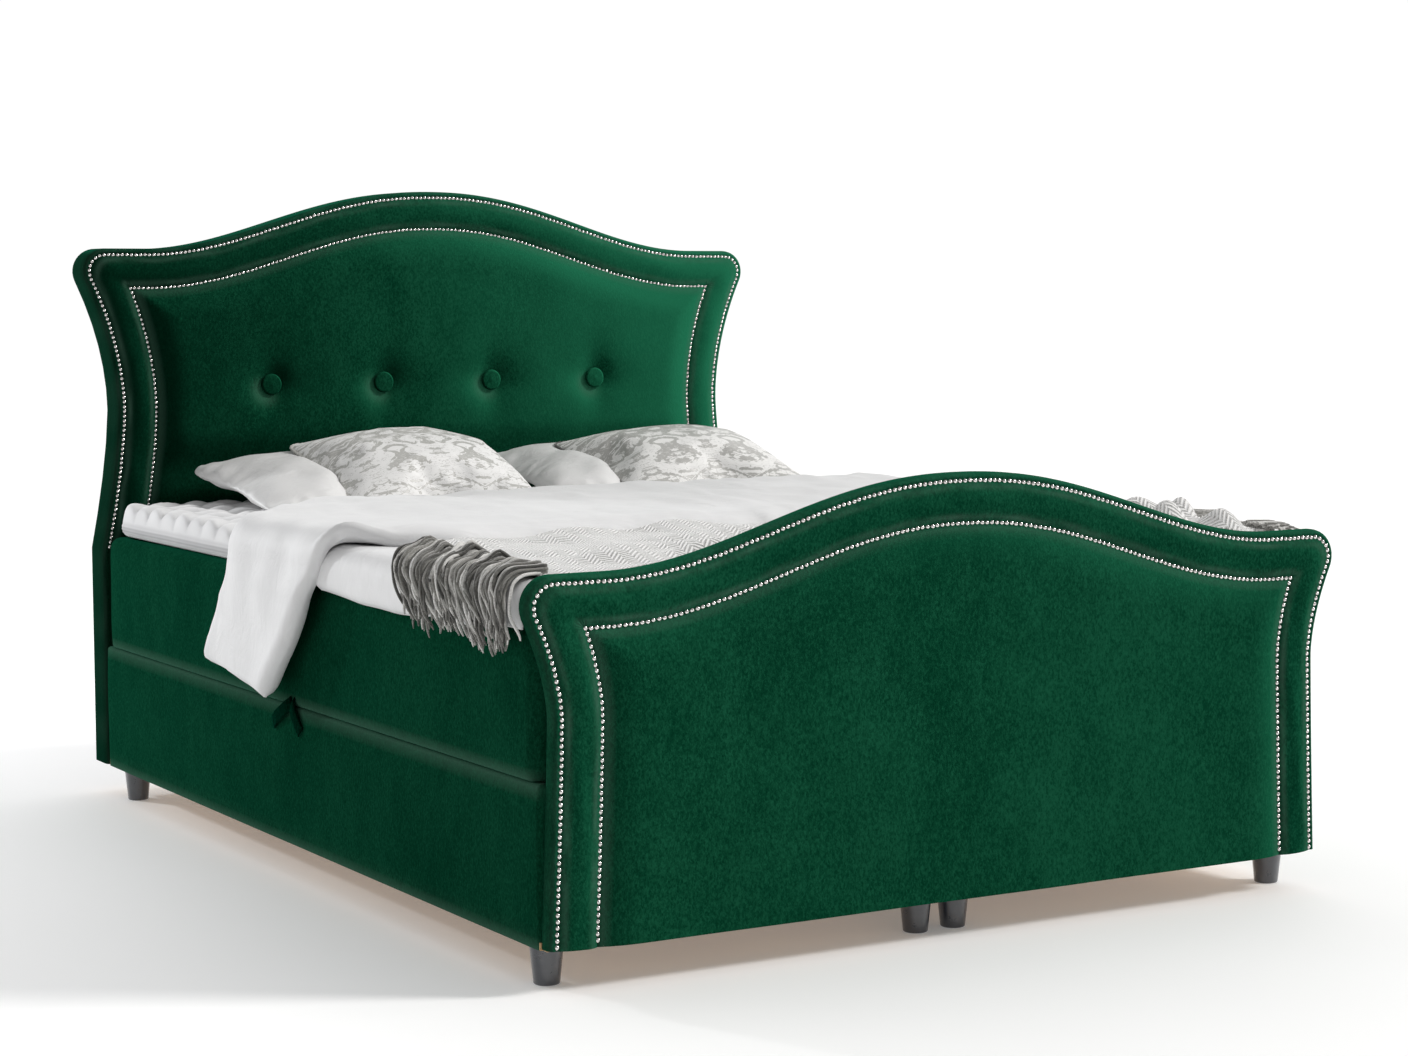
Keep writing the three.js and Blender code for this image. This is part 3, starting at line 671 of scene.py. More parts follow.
def board_grid(line, rows, columns):
    """A grid of (x, z) that fills a board inside a line, from the bottom edge up to the crown."""
    right = line[len(line) // 2:][::-1]
    corner = int(np.argmax(right[:, 0] + right[:, 1] * 0.5))
    side, crown = right[:corner + 1], right[corner:]
    corner_x, corner_z = right[corner]
    u, v = np.linspace(-1, 1, columns), np.linspace(0, 1, rows)
    top = np.interp(np.abs(u) * corner_x, crown[::-1, 0], crown[::-1, 1])
    z = BOARD_BOTTOM + v[:, None] * (top - BOARD_BOTTOM)[None, :]
    half_width = np.interp(np.minimum(z, corner_z), side[:, 1], side[:, 0])
    return u[None, :] * half_width, z


CENTRE_STEP = 0.0085                # the mesh's spacing up the board
PUFF_REACH = 0.085                  # how far in from the nails the middle still rises
LIDS_END, ROOM_FROM = 0.71, 0.80    # heights where the lids stop pressing, and where it is free
BUTTON_DIMPLE, BUTTON_REACH = 0.0185, 0.060


def add_centre(name, inner_line, face, rise, rise_low, seed, node, painted_light_sweep, buttons=(), lift=0.0):
    """The padded middle of one board: it puffs up from the inner nails, with a dimple at each
    button. rise_low is its height near the lids, where it has less room."""
    rows, columns = int((inner_line[:, 1].max() - BOARD_BOTTOM) / CENTRE_STEP), 180
    x, z = board_grid(inner_line, rows, columns)
    gap = distances(np.stack([x.ravel(), z.ravel()], 1), resample(inner_line, 0.004)).reshape(z.shape)
    shape = 1 - (1 - np.clip(gap / PUFF_REACH, 0, 1)) ** 2.6
    room = rise_low + (rise - rise_low) * smoothstep(z, LIDS_END, ROOM_FROM)
    depth = NAIL_LINE_HEIGHT + (room - NAIL_LINE_HEIGHT) * shape
    depth += ripples(x, z, 0.22, seed) * 0.0009 * shape
    crush = hump(gap, 0.010, 0.006) * 0.30
    # Painted light: lift lightens the whole panel, and round each button the dimple's lower left gets a
    # painted highlight and its upper right painted shade.
    painted_light_offset = np.full_like(x, lift)
    for button_x, button_z in buttons:
        dx, dz = x - button_x, z - button_z
        away = np.hypot(dx, dz)
        pleat = 1 + 0.10 * np.cos(4 * np.arctan2(dz, dx)) * smoothstep(away, 0.02, 0.06)
        depth -= BUTTON_DIMPLE * np.exp(-(away / (BUTTON_REACH * pleat)) ** 1.5)
        # A painted highlight: a ring of greyer crushed tone on the button's lower left side only.
        ring = hump(np.hypot(dx + 0.010, dz + 0.010), 0.022, 0.014)
        crush += ring * np.clip(-(dx + dz) / 0.04, 0, 1) * 0.35
        toward = -(dx * 0.80 + dz * 0.60) / np.maximum(away, 0.001)
        painted_light_offset += toward * hump(away, 0.032, 0.030) * 0.42
    points = np.stack([x.ravel(), (face - depth).ravel(), z.ravel()], 1)
    made = make_object(name, points, grid_faces(rows, columns), VELVET)
    set_attribute(made, "nap", crush.ravel())
    # Painted light and shade by slope, with the painted light round the buttons.
    paint_slope_light(made, painted_light_sweep, painted_light_offset=painted_light_offset.ravel())
    place_piece(made, "base", "velvet", node)


def add_nails(name, line, low_z, face, seed, node):
    """One row of domed nails, nearly touching, each a little out of line."""
    spaced = resample(line[line[:, 1] >= low_z], NAIL_PITCH)
    rng = np.random.default_rng(seed)
    sides, rings = 12, 4
    turns = np.linspace(0, 2 * math.pi, sides, endpoint=False)
    dome = []
    for a in np.arange(rings) * (math.pi / 2 / rings):
        r, h = NAIL_R * math.cos(a), NAIL_DOME * math.sin(a)
        dome += [(r * math.cos(t), -h, r * math.sin(t)) for t in turns]
    dome = np.array(dome + [(0, -NAIL_DOME, 0)])
    tip, last = len(dome) - 1, (rings - 1) * sides
    dome_faces = grid_faces(rings, sides, closed=True)
    dome_faces += [(last + i, last + (i + 1) % sides, tip) for i in range(sides)]
    points, faces = [], []
    for i, (x, z) in enumerate(spaced):
        tilt = rng.normal(0, 0.05, 2)
        shift = rng.normal(0, 0.00025, 2)
        head = dome.copy()
        head[:, 1] += head[:, 0] * tilt[0] + head[:, 2] * tilt[1]
        points.append(head + (x + shift[0], face - NAIL_LINE_HEIGHT - 0.0002, z + shift[1]))
        faces += [tuple(i * len(dome) + k for k in corners) for corners in dome_faces]
    made = make_object(name, np.vstack(points), faces, NAIL_STEEL)
    # Painted shade on the ring where each head meets the cloth, fading on the ring above it.
    painted_rim_shade = np.append(np.repeat([1.0, 0.35, 0.0, 0.0], sides), 0.0)
    set_attribute(made, "painted_rim_shade", np.tile(painted_rim_shade, len(spaced)))
    place_piece(made, "base", "nail_steel", node)


def lathe(name, profile, material, sides=64):
    """A solid of revolution about Z from (radius, height) pairs that start and end on the axis."""
    ring = np.linspace(0, 2 * math.pi, sides, endpoint=False)
    inner = profile[1:-1]
    points = [(r * math.cos(a), r * math.sin(a), h) for r, h in inner for a in ring]
    faces = grid_faces(len(inner), sides, closed=True)
    low, high = len(points), len(points) + 1
    points += [(0, 0, profile[0][1]), (0, 0, profile[-1][1])]
    last = (len(inner) - 1) * sides
    faces += [(low, (i + 1) % sides, i) for i in range(sides)]
    faces += [(high, last + i, last + (i + 1) % sides) for i in range(sides)]
    return make_object(name, points, faces, material)


def add_back_cloth():
    """Velvet over the back of the footboard: a flat cloth with the board's outline."""
    half = nail_line_half(FOOTBOARD)
    edge = half - path_normals(half) * (EDGE - 0.001)
    rows, columns = 60, 90
    x, z = board_grid(both_halves(edge), rows, columns)
    points = np.stack([x.ravel(), np.full(x.size, FOOT_BACK + 0.0002), z.ravel()], 1)
    made = make_object("footboard_back_cloth", points, grid_faces(rows, columns, flip=True), VELVET)
    place_piece(made, "base", "velvet")


BUTTONS = [f"headboard_button_{i}" for i in range(1, 5)]


def add_button(node):
    """A covered button: a flat dome with a soft edge and a thin groove where its cap is clinched."""
    low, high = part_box(node)
    radius, thick = (high.x - low.x) / 2, high.y - low.y
    profile = [(0, -0.006), (radius * 0.84, -0.006), (radius * 0.86, 0.0035), (radius * 0.97, 0.0050)]
    profile += [(radius * (0.80 + 0.20 * math.cos(a)), 0.0070 + (thick - 0.0085) * math.sin(a))
                for a in np.linspace(0, math.pi / 2, 8)]
    profile += [(radius * r, thick - 0.0015 + 0.0012 * (1 - r / 0.8)) for r in (0.6, 0.35, 0.15)]
    profile.append((0, thick))
    made = lathe(node.replace("headboard", "covered"), profile, VELVET)
    place = Matrix.Translation(((low.x + high.x) / 2, high.y, (low.z + high.z) / 2))
    made.data.transform(place @ Matrix.Rotation(math.pi / 2, 4, "X"))
    # Painted light and shade by slope, lighter towards the bed's right.
    paint_slope_light(made, 0.8)
    place_piece(made, "base", "velvet", node)


def add_nail_rows(board, outer, inner, low_z, face, seed):
    for place, line, number in (("outer", outer, seed), ("inner", inner, seed + 1)):
        add_nails(f"{board}_{place}_nails", line, low_z, face, number, f"{board}_{place}_nail_trim")


def add_headboard():
    back_depth = HEAD_BACK - HEAD_FACE - 0.0006
    # The headboard's velvet gets painted light that grows lighter towards the right, and its centre a
    # lighter painted tone all over.
    outer, inner = add_border("headboard_border", HEADBOARD, HEAD_FACE, back_depth, roll=0.0125,
                              seed=11, node="headboard_border_pad", painted_light_sweep=0.90)
    middles = []
    for low, high in map(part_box, BUTTONS):
        middles.append(((low.x + high.x) / 2, (low.z + high.z) / 2))
    add_centre("headboard_centre", inner, HEAD_FACE, rise=0.0362, rise_low=0.0204, seed=21,
               node="headboard_centre_pad", painted_light_sweep=0.90, buttons=middles, lift=0.10)
    add_nail_rows("headboard", outer, inner, HEADBOARD["low_z"] + 0.004, HEAD_FACE, seed=31)
    for node in BUTTONS:
        add_button(node)


def add_footboard():
    outer, inner = add_border("footboard_border", FOOTBOARD, FOOT_FACE, FOOT_BACK - FOOT_FACE, roll=0.0085,
                              seed=12, node="footboard_border_pad", painted_light_sweep=0.0)
    add_centre("footboard_centre", inner, FOOT_FACE, rise=0.0225, rise_low=0.0225, seed=22,
               node="footboard_centre_pad", painted_light_sweep=0.05)
    add_nail_rows("footboard", outer, inner, BOARD_BOTTOM + 0.006, FOOT_FACE, seed=33)
    add_back_cloth()


# ---------- storage boxes and lids ----------
def rounded_plan(low, high, side, outer_r, inner_r):
    """A box's outline in plan, as a closed path (counter-clockwise from its low corner) with each
    point's outward normal. Corners have one radius at the bed's outer side and one at its middle."""
    spacing = 0.022
    corners = [(low.x, low.y), (high.x, low.y), (high.x, high.y), (low.x, high.y)]
    inwards = [(1, 1), (-1, 1), (-1, -1), (1, -1)]
    radii = [inner_r if sx == side else outer_r for sx, _ in inwards]
    points, normals = [], []
    for k, ((cx, cy), (sx, sy), r) in enumerate(zip(corners, inwards, radii)):
        start = math.pi + k * math.pi / 2
        for a in np.linspace(start, start + math.pi / 2, 9):
            points.append((cx + sx * r + r * math.cos(a), cy + sy * r + r * math.sin(a)))
            normals.append((math.cos(a), math.sin(a)))
        ax, ay = points[-1]
        nx, ny = corners[(k + 1) % 4]
        length = math.hypot(nx - cx, ny - cy)
        straight = length - r - radii[(k + 1) % 4]
        steps = int(length / spacing)
        for i in range(1, steps):
            share = straight / length * i / steps
            points.append((ax + (nx - cx) * share, ay + (ny - cy) * share))
            normals.append(normals[-1])
    return np.array(points), np.array(normals)


SKIN, END_SKIN = 0.0015, 0.0002     # how far cloth stands off the outer side and the ends
SIDE_PAINTED_SHADE = -0.22                    # painted shade that darkens the boxes' and lids' velvet all over


def wrap_wall(name, plan, normals, profile, outer_side, bulge, seed, cap=False):
    """Cloth round a plan: the profile is (outward offset, z, bulge share) rows, and only the outer
    long side of the bed bulges. Returns the piece and how far each plan point faces outwards."""
    outer = np.clip(normals[:, 0] * outer_side, 0, 1) ** 4
    y = plan[:, 1]
    ends = smoothstep(y - y.min(), 0.0, 0.10) * smoothstep(y.max() - y, 0.0, 0.10)
    skin = END_SKIN + (SKIN - END_SKIN) * outer
    wave = ripples(y, np.zeros_like(y), 0.35, seed + 3) * 0.0008 * outer
    rows = []
    for offset, z, share in profile:
        swell = bulge * share * outer * (0.35 + 0.65 * ends)
        uneven = ripples(y, np.full_like(y, z), 0.30, seed, 1.6) * 0.0016 * share * outer
        flat = plan + normals * (offset + skin + swell + uneven)[:, None]
        rows.append(np.column_stack([flat, np.full(len(flat), z) + wave * (0.2 + share)]))
    faces = grid_faces(len(rows), len(plan), closed=True)
    if cap:
        faces.append(tuple((len(rows) - 1) * len(plan) + i for i in range(len(plan))))
    return make_object(name, np.vstack(rows), faces, VELVET), outer


def panel_rows(z0, z1, low_r, high_r):
    """The outer face of a padded panel: (offset, z, bulge share) from its lower to its upper edge."""
    turn, steps = math.pi / 2, 14
    rows = [(-low_r * (1 - math.sin(a)), z0 + low_r * (1 - math.cos(a)), 0.0)
            for a in np.linspace(0.0, turn, 6)]
    rows += [(0.0, z0 + low_r + (z1 - z0 - low_r - high_r) * u, math.sin(math.pi * u) ** 0.55)
             for u in np.linspace(0, 1, steps)[1:-1]]
    return rows + [(-high_r * (1 - math.cos(a)), z1 - high_r * (1 - math.sin(a)), 0.0)
                   for a in np.linspace(0.0, turn, 8)]


def seam_crush(made, rows, outer, z_low, z_high):
    """Crushes the pile near a panel's two seams, mostly on the outer side."""
    z = np.array([row[1] for row in rows])
    near = (hump(z, z_low, 0.012) + hump(z, z_high, 0.012)) * 0.5
    set_attribute(made, "nap", (near[:, None] * (0.3 + 0.7 * outer)[None, :]).ravel())


WALL = 0.024                        # the thickness of a box's walls
LINING, LINING_DEPTH = 0.0012, 0.030    # the velvet turned down inside a box
BOX_BULGE, LID_BULGE = 0.0035, 0.0045
LID_POCKET = 0.0197                 # how far the velvet wraps under the lid's edge
STRUT_FOOT_X, STRUT_FOOT_Z = 0.062, 0.110


def add_storage_box(side_name, side, seed):
    """One box's velvet, its bare boards inside, and the studs its gas struts stand on."""
    low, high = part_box(f"{side_name}_box_walls")
    plan, normals = rounded_plan(low, high, side, outer_r=0.0065, inner_r=0.004)
    bottom = BOX_BOTTOM - 0.0006
    rows = [(-0.016, bottom, 0.0)] + panel_rows(bottom, BOX_TOP - 0.0004, 0.0003, 0.008)
    rows += [(-WALL + 0.003, BOX_TOP - 0.0006, 0.0), (-WALL - LINING, BOX_TOP - 0.004, 0.0),
             (-WALL - LINING, BOX_TOP - LINING_DEPTH, 0.0)]
    made, outer = wrap_wall(f"{side_name}_box_upholstery", plan, normals, rows, side, BOX_BULGE, seed)
    seam_crush(made, rows, outer, BOX_BOTTOM, BOX_TOP)
    # Painted light and shade by slope, and painted shade over the whole box.
    paint_slope_light(made, gain=0.6, painted_light_offset=SIDE_PAINTED_SHADE)
    place_piece(made, "base", "velvet", f"{side_name}_box_walls")
    boards_top, boards_low = BOX_TOP - 0.028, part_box(f"{side_name}_box_floor")[1].z + GAP
    inside = [(-WALL + 0.004, boards_top, 0.0), (-WALL, boards_top, 0.0), (-WALL, boards_low, 0.0)]
    boards, _ = wrap_wall(f"{side_name}_box_boards", plan, normals, inside, side, 0.0, seed)
    boards.data.materials[0] = TIMBER
    place_piece(boards, "base", "timber")
    for end, wall_y, turn in (("foot", low.y + WALL, -90), ("head", high.y - WALL, 90)):
        add_strut_stud(f"{side_name}_{end}_strut", wall_y, side, turn)


def add_strut_stud(strut, wall_y, side, turn):
    """The stud that carries a gas strut's lower ball, from the wall up to the ball."""
    ball_low, ball_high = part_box(f"{strut}_cylinder")
    length = abs((ball_low.y + ball_high.y) / 2 - wall_y) - 0.007
    profile = [(0, 0), (0.009, 0), (0.009, 0.003), (0.004, 0.0035), (0.004, length - 0.0005),
               (0.0035, length), (0, length)]
    stud = lathe(f"{strut}_stud", profile, ZINC, 32)
    place = Matrix.Translation((STRUT_FOOT_X * side, wall_y, STRUT_FOOT_Z))
    stud.data.transform(place @ Matrix.Rotation(math.radians(turn), 4, "X"))
    place_piece(stud, "base", "zinc_steel")


def add_lid(side_name, side, seed):
    """One lid's velvet, from the pocket under its board up over the side to the top."""
    low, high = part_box(f"{side_name}_lid_cover")
    plan, normals = rounded_plan(low, high, side, outer_r=0.025, inner_r=0.010)
    bottom, top = LID_BOTTOM + 0.0002, LID_TOP
    rows = [(-LID_POCKET, bottom + 0.012, 0.0), (-LID_POCKET, bottom + 0.002, 0.0),
            (-LID_POCKET + 0.002, bottom, 0.0)]
    rows += panel_rows(bottom, top, 0.007, 0.024)
    rows += [(-0.045, top, 0.0), (-0.09, top, 0.0)]
    name = f"{side_name}_lid_upholstery"
    made, outer = wrap_wall(name, plan, normals, rows, side, LID_BULGE, seed, cap=True)
    seam_crush(made, rows, outer, bottom, top + 0.1)
    # Painted light and shade by slope, and painted shade over the whole lid.
    paint_slope_light(made, gain=0.6, painted_light_offset=SIDE_PAINTED_SHADE)
    place_piece(made, f"{side_name}_lid", "velvet", f"{side_name}_lid_cover")


RIBBON_SECTION = ((-1, 0), (-0.93, 0.8), (-0.8, 1), (0, 1), (0.8, 1), (0.93, 0.8),
                  (1, 0), (0.93, -0.8), (0.8, -1), (0, -1), (-0.8, -1), (-0.93, -0.8))


def ribbon(name, path, width, thick, material):
    """A flat strap along a path of points, with rounded edges; width is its vector from edge to edge."""
    run = np.gradient(path, axis=0)
    run /= np.linalg.norm(run, axis=1)[:, None]
    across = np.tile(np.array(width, float), (len(path), 1))
    out = np.cross(run, across)
    out /= np.linalg.norm(out, axis=1)[:, None]
    rows = [path + across / 2 * a + out * thick / 2 * b for a, b in RIBBON_SECTION]
    points = np.stack(rows, 1).reshape(-1, 3)
    count = len(RIBBON_SECTION)
    faces = grid_faces(len(path), count, closed=True, flip=True)
    faces += [tuple(range(count)), tuple(len(points) - 1 - i for i in range(count))]
    return make_object(name, points, faces, material)


STRAP_OUT, STRAP_ALONG = 0.0065, 0.048      # the strap's seam point, from the box and its CAD box
STRAP_THICK = 0.0045
# Each tail of the pull strap: its width vector, then its path as (outwards, along Y, up) from the
# seam. None stands for the strap's lowest point.
STRAP_HANG = (0, 0.0190, -0.0190), ((-0.004, 0.003, 0.009), (0, 0, 0.003), (0.002, -0.012, -0.012),
                                    (0.002, -0.028, -0.029), (0, -0.042, None))
STRAP_SWEEP = (0, 0.0100, 0.0240), ((-0.002, 0.004, 0.007), (0.003, 0.016, -0.001),
                                    (0.004, 0.042, -0.014), (0.003, 0.070, -0.027), (0, 0.092, -0.041))


def add_pull_strap(side_name, side):
    """A folded webbing loop from the seam: its near tail hangs straight and its far tail is swept
    towards the head."""
    node = f"{side_name}_pull_strap"
    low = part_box(node)[0]
    seam_x, seam_y = BED_HALF + STRAP_OUT, low.y + STRAP_ALONG
    for part, (width, path), nodes in (("tail", STRAP_HANG, ()), ("loop", STRAP_SWEEP, (node,))):
        line = [(side * (seam_x + out), seam_y + along, low.z + 0.020 if up is None else BOX_TOP + up)
                for out, along, up in path]
        strap = ribbon(f"{node}_{part}", resample(np.array(line), 0.006), width, STRAP_THICK, WEBBING)
        place_piece(strap, f"{side_name}_lid", "velvet", *nodes)


# ---------- topper ----------
QUILT_ROW, QUILT_WAVE = 0.080, 0.14
QUILT_LIFT = 0.0215
BAND_RIB = 0.0068                   # the ribs of the band round the topper's side


def place_bedding(made, side_name, side, slot, *nodes):
    """Hides the CAD nodes a piece stands for and bakes its transform into its mesh. side_name, side and
    slot are not used.
    """
    if nodes:
        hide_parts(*nodes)
    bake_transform(made)


def quilting(x, y):
    """Cloud quilting: wavy rows across the bed, each broken into humps by offset wavy columns."""
    row = (y + 0.013 * np.sin(2 * math.pi * x / QUILT_WAVE)) / QUILT_ROW
    column = (x + 0.010 * np.sin(2 * math.pi * y / (2 * QUILT_ROW))) / (QUILT_WAVE / 2)
    across = np.abs(np.sin(math.pi * row)) ** 0.50
    down = np.abs(np.sin(math.pi * (column + 0.25))) ** 0.8
    return across * (0.62 + 0.38 * down)


def add_topper(side_name, side):
    """One half of the quilted topper, open at the middle where it meets the other half."""
    bottom = LID_TOP + 0.0006
    radius = (TOPPER_TOP - bottom) / 2
    quarter = math.pi / 2
    flat_x, flat_y0, flat_y1 = TOPPER_HIGH.x - radius, TOPPER_LOW.y + radius, TOPPER_HIGH.y - radius
    xs = np.linspace(0, flat_x, int(flat_x / 0.012))
    ys = np.linspace(flat_y0, flat_y1, int((TOPPER_HIGH.y - TOPPER_LOW.y) / 0.011))
    nose = np.linspace(-quarter, quarter, 21)[1:-1]
    end = np.linspace(0, quarter, 7)[1:]
    # The section runs out along the bottom, round the side and back along the top.
    across = np.concatenate([xs, np.full(len(nose), flat_x), xs[::-1]])
    around = np.concatenate([np.full(len(xs), -quarter), nose, np.full(len(xs), quarter)])
    # Sections follow each other along Y, and shrink to the middle height at both ends.
    along = np.concatenate([np.full(len(end), flat_y0), ys, np.full(len(end), flat_y1)])[:, None]
    tip = np.concatenate([-end[::-1], np.zeros(len(ys)), end])[:, None]
    nx, nz = np.cos(around) * np.cos(tip), np.sin(around) * np.cos(tip)
    x, z = across + radius * nx, bottom + radius + radius * nz
    y = np.broadcast_to(along + radius * np.sin(tip), x.shape)
    top = smoothstep(nz, 0.25, 0.95)
    band = smoothstep(0.85 - np.abs(nz), 0.0, 0.5)
    quilted = quilting(x * side, y - TOPPER_LOW.y)
    wave = np.cos(2 * math.pi * (z - bottom) / BAND_RIB)
    # Painted shade for the band attribute: in the quilting's grooves on top, and round the side in ribbed
    # stripes that darken towards the bottom.
    groove = (1 - quilted) ** 2 * top * 0.7
    shade = (0.72 - 0.28 * wave) * band * smoothstep(0.75 - nz, 0.0, 1.0) + groove
    z = z + quilted * QUILT_LIFT * top + (0.014 * smoothstep(y, 0.25, 0.45) - 0.006) * top
    x = x + wave * 0.0011 * band * nx + ripples(y, z * 4, 0.20, 41) * 0.0012 * band
    points = np.stack([x * side, y, np.maximum(z, bottom)], -1).reshape(-1, 3)
    rows, columns = x.shape
    faces = grid_faces(rows, columns, flip=side > 0)
    ends = list(range(columns)), list(range(rows * columns - 1, (rows - 1) * columns - 1, -1))
    faces += [tuple(face if side > 0 else face[::-1]) for face in ends]
    made = make_object(f"{side_name}_quilted_topper", points, faces, QUILT)
    set_attribute(made, "band", shade.ravel())
    place_bedding(made, side_name, side, "topper_cloth", f"{side_name}_topper")


# ---------- duvet and throw ----------
def slab(name, side, middle, thickness, material, uv=None, open_start=True):
    """A closed padded sheet: the outer and inner faces lie half the thickness to each side of the
    middle surface, an (n, m, 3) array whose rows run outwards from the bed's middle. Row 0 can be
    left open, where two halves meet. Columns are turned round on the left, so that the outer face
    is up on both sides."""
    middle, thickness = middle[:, ::side], thickness[:, ::side]
    out = np.cross(np.gradient(middle, axis=0), np.gradient(middle, axis=1))
    out /= np.linalg.norm(out, axis=2)[..., None] + 1e-12
    rows, columns = middle.shape[:2]
    half = out * thickness[..., None] / 2
    points = np.vstack([(middle + half).reshape(-1, 3), (middle - half).reshape(-1, 3)])
    shift = rows * columns
    faces = grid_faces(rows, columns) + grid_faces(rows, columns, start=shift, flip=True)
    edge = [i * columns for i in range(rows)]
    edge += [(rows - 1) * columns + j for j in range(1, columns)]
    edge += [i * columns + columns - 1 for i in range(rows - 2, -1, -1)]
    if not open_start:
        edge += list(range(columns - 2, -1, -1))
    faces += [(a, b, b + shift, a + shift) for a, b in zip(edge[:-1], edge[1:])]
    made = make_object(name, points, faces, material)
    if uv is not None:
        flat = uv[:, ::side].reshape(-1, 2)
        set_uv(made, np.vstack([flat, flat]))
    return made


def over_edge(across, edge, radius, top):
    """Where a cloth point lies that is a given way across from the middle: flat on top, round the
    bed's edge, then straight down. Gives x, z and how far it is down the side."""
    flat = edge - radius
    turn = np.clip((across - flat) / radius, 0, math.pi / 2)
    drop = np.maximum(across - flat - radius * math.pi / 2, 0)
    x = np.minimum(across, flat) + radius * np.sin(turn)
    z = top - radius * (1 - np.cos(turn)) - drop
    return x, z, drop


def curve_through(u, keys, base):
    """A smooth line through (u, value above the base) keys."""
    at, value = np.array([k[0] for k in keys]), np.array([base + k[1] for k in keys])
    index = np.clip(np.searchsorted(at, u, side="right") - 1, 0, len(at) - 2)
    slope = np.gradient(value, at)
    step = at[index + 1] - at[index]
    t = np.clip((u - at[index]) / step, 0, 1)
    from_start, start_slope = 2 * t ** 3 - 3 * t ** 2 + 1, t ** 3 - 2 * t ** 2 + t
    from_end, end_slope = -2 * t ** 3 + 3 * t ** 2, t ** 3 - t ** 2
    return (from_start * value[index] + start_slope * step * slope[index]
            + from_end * value[index + 1] + end_slope * step * slope[index + 1])


def pinched(u, v, thick, side_round, end_round):
    """The padding's thickness: full in the middle, and rounded off to a thin seam at the free side
    hem and the two ends, over the given shares of the width and length."""
    seam = 0.12

    def edge(distance, reach):
        return np.sqrt(1 - (1 - np.clip(distance / reach, 0, 1)) ** 2)
    side, ends = edge(1 - u, side_round), edge(np.minimum(v, 1 - v), end_round)
    return thick * (seam + (1 - seam) * side * ends)


DUVET_THICK = 0.033
LOWER_LENGTH = 1.400                # the flat layer's length, from the foot end
LOWER_EDGE, LOWER_BEND = 0.815, 0.030
LOWER_DROP = 0.040                  # how far it hangs below the bend at the bed's side
SHORT_FROM, SHORT_TO, SHORT_BY = 0.79, 0.91, 0.150      # past here it ends on top, under the fold


def add_duvet_lower(side_name, side):
    """The part of the duvet that lies flat and hangs a little over the bed's side."""
    rows, columns = 90, 150
    v = np.linspace(0, 1, columns)
    y = DUVET_Y0 + LOWER_LENGTH * v
    shorten = smoothstep(y, DUVET_Y0 + SHORT_FROM, DUVET_Y0 + SHORT_TO) * SHORT_BY
    hem = ripples(y, np.zeros_like(y), 0.30, 51 + side) * 0.010
    reach = LOWER_EDGE - LOWER_BEND + LOWER_BEND * math.pi / 2 + LOWER_DROP - shorten + hem
    across = np.linspace(0, 1, rows)[:, None] ** 0.92 * reach
    x, z, drop = over_edge(across, LOWER_EDGE, LOWER_BEND, TOPPER_TOP + 0.002 + DUVET_THICK / 2)
    y = np.broadcast_to(y, x.shape)
    soft = ripples(across * side, y, 0.33, 52) * 0.0040
    soft += ripples(across * side, y, 0.12, 53, 0.5) * 0.0020
    z = z + soft * smoothstep(0.80 - x, 0.0, 0.06)
    x = x + ripples(y, z * 0.8, 0.17, 54, 0.3) * 0.004 * smoothstep(drop, 0.0, 0.03)
    x = np.maximum(x, 0) + smoothstep(drop, 0.0, 0.05) * 0.002
    thickness = pinched(across / reach, v, DUVET_THICK, 0.030, 0.012)
    made = slab(f"{side_name}_duvet_lower", side, np.stack([x * side, y, z], -1), thickness, COTTON)
    place_bedding(made, side_name, side, "white_cotton")


FOLD_Y0, FOLD_Y1 = DUVET_Y0 + 0.650, DUVET_Y0 + 1.470
FOLD_THICK = 0.030
FOLD_EDGE, FOLD_BEND = 0.838, 0.050     # where its middle surface hangs, and the bend's radius
FOLD_FLAT = FOLD_EDGE - FOLD_BEND   # where the fold starts to bend down at the bed's side
FOLD_CORNER = FOLD_FLAT + FOLD_BEND * math.pi / 2
FLAP_DROP = 0.246
FOLD_WIDTH = {"left": FOLD_CORNER + FLAP_DROP, "right": FOLD_CORNER + 0.035}
# How far the hem lies past FOLD_Y0 and the folded head end past FOLD_Y1, by the way across.
HEM_KEYS = {
    "left": ((0, 0), (0.45, -0.03), (0.72, -0.01), (FOLD_FLAT, 0.045), (FOLD_CORNER + 0.02, 0.122),
             (FOLD_CORNER + 0.14, 0.196), (FOLD_WIDTH["left"], 0.335)),
    "right": ((0, 0), (0.4, 0.03), (FOLD_WIDTH["right"], 0.07)),
}
HEAD_KEYS = {
    "left": ((0, 0), (0.45, -0.03), (0.62, -0.110), (FOLD_FLAT, -0.286), (FOLD_CORNER + 0.02, -0.295),
             (FOLD_CORNER + 0.14, -0.195), (FOLD_WIDTH["left"], -0.115)),
    "right": ((0, 0), (0.4, 0.010), (FOLD_WIDTH["right"], 0.012)),
}
TURN_FROM, TURN_R = 0.88, 0.021     # the share of the length where it turns under, and its radius


